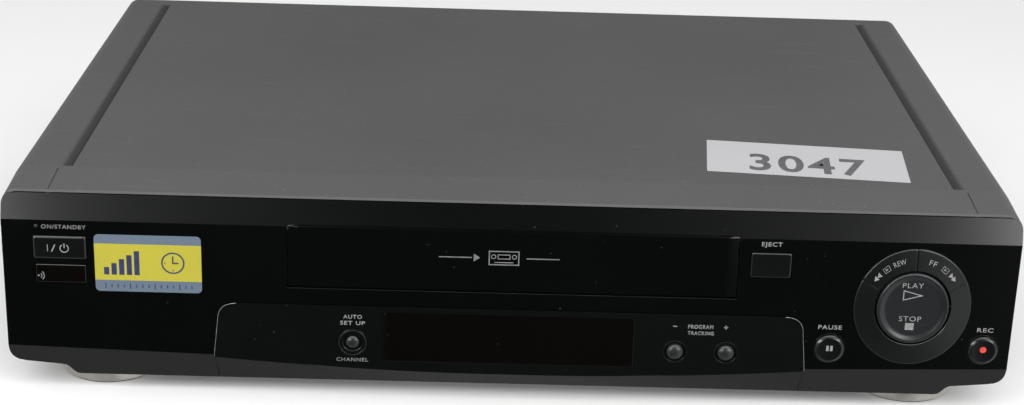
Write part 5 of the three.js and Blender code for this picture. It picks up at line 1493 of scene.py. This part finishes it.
for node, x in SCARTS.items():
    SCART_PARTS = [
        ("shell", outlined(slab(41.6, 8.7), 0.45), 10.3, tin_plate, "plated_steel", 10),
        ("tongue", slab(36, 2.4), 11.9, socket_plastic, "socket_plastic", 8),
        ("contacts", joined(*contacts(1.5), *contacts(-1.5)), 11.9, tin_plate, "plated_steel", 7),
    ]
    for part, shape, inward, finish, slot, length in SCART_PARTS:
        place = on_rear(x, SOCKET_END - inward, SCART_Z)
        print_on(f"{node}_{part}", shape, place, finish, node, slot, length)
for colour, x in JACKS.items():
    place = on_rear(x, SOCKET_END - 0.1, JACK_Z)
    finish = sound_rings[colour]
    print_on(f"sound_ring_{colour}", bow(3.35, 1.5), place, finish, "audio_jacks", "socket_plastic", 0.4)
    place = on_rear(x, SOCKET_END - 6, JACK_Z)
    print_on(f"sound_sleeve_{colour}", bow(2.2, 0.35), place, tin_plate, "audio_jacks", "plated_steel", 6.8)
for name, x in AERIALS.items():
    nut = outlined(spot(6.6, 6), 1.0)
    place = on_rear(x, REAR_FACE, AERIAL_Z)
    print_on(f"aerial_nut_{name}", nut, place, tin_plate, "tuner_box", "plated_steel", 1.4)
    waves = [(4.85 - 0.25 * (i % 2), -1.6 - 0.3 * i) for i in range(9)]
    start = (THREAD_ROOT, -THREAD_START)
    thread = turned([start, *waves, (THREAD_ROOT, -THREAD_END), start], 48)
    moved(thread, x, REAR_FACE, AERIAL_Z)
    finish_piece(f"aerial_thread_{name}", thread, tin_plate, BODY_OF["tuner_box"], "plated_steel")
print("sockets with visible parts", len(SCARTS) + len(JACKS) + len(AERIALS))

# %% [markdown]
# The studio is a white floor, one wide light overhead and two at the front corners. What the glossy
# front mirrors matters as much as what lights it: the photograph's front mirrors a dark room, and
# only edges that turn up or down catch the white above and below. The air round the scene is shaded
# by direction for that: white overhead and straight below, dark in between.

# %% Studio
FLOOR_SIZE = 12.0


def make_floor():
    shape = bmesh.new()
    bmesh.ops.create_grid(shape, x_segments=1, y_segments=1, size=FLOOR_SIZE / 2)
    mesh = bpy.data.meshes.new("studio_floor")
    shape.to_mesh(mesh)
    shape.free()
    paper = Finish("studio_paper", base_color=(0.9, 0.9, 0.9), roughness=0.9, specular_ior_level=0.1)
    mesh.materials.append(paper.material)
    floor = bpy.data.objects.new("studio_floor", mesh)
    bpy.context.scene.collection.objects.link(floor)
    floor.visible_glossy = False
    return floor


def soft_light(name, place, aim, size, power):
    lamp = bpy.data.lights.new(name, "AREA")
    lamp.shape = "RECTANGLE"
    lamp.size, lamp.size_y = size
    lamp.energy = power
    light = bpy.data.objects.new(name, lamp)
    light.location = place
    light.rotation_euler = (Vector(aim) - Vector(place)).to_track_quat("-Z", "Y").to_euler()
    bpy.context.scene.collection.objects.link(light)
    return light


def shade_the_air():
    world = bpy.data.worlds.new("studio_air")
    bpy.context.scene.world = world
    world.use_nodes = True
    air = Wiring(world.node_tree)
    towards = air.node("ShaderNodeTexCoord", output="Generated")
    upward = air.node("ShaderNodeSeparateXYZ", inputs={"Vector": towards}, output="Z")
    rightward = air.node("ShaderNodeSeparateXYZ", inputs={"Vector": towards}, output="X")
    backward = air.node("ShaderNodeSeparateXYZ", inputs={"Vector": towards}, output="Y")
    above = air.between(upward, 0.35, 0.75, 0.0, 0.6)
    below = air.between(upward, -0.55, -0.8, 0.0, 0.42)
    right = air.between(rightward, 0.24, 0.46, 0.0, 0.8)
    left = air.between(rightward, -0.4, -0.7, 0.0, 0.5)
    low_front = air.between(abs(rightward), 0.02, 0.3, 0.03, 0.6) * air.between(upward, -0.24, -0.06)
    low_back = air.between(backward, 0.3, 0.6, 0.0, 0.5) * air.between(upward, 0.05, -0.05)
    light = (above + below).highest(right.highest(left)).highest(low_front).highest(low_back)
    air.fill(world.node_tree.nodes["Background"].inputs["Strength"], light + 0.01)
    world.node_tree.nodes["Background"].inputs["Color"].default_value = (1, 1, 1, 1)


make_floor()
soft_light("overhead", (0, -0.95, 0.95), (0, -0.15, 0), (2.2, 0.8), 19)
soft_light("left_front", (-1.75, -2.6, 0.55), (0, 0, 0.05), (1.7, 0.6), 34)
soft_light("right_front", (1.75, -2.6, 0.55), (0, 0, 0.05), (1.7, 0.6), 30)
shade_the_air()

# %% [markdown]
# Rounded edges and print can make the finished model a little smaller or larger than the CAD model.
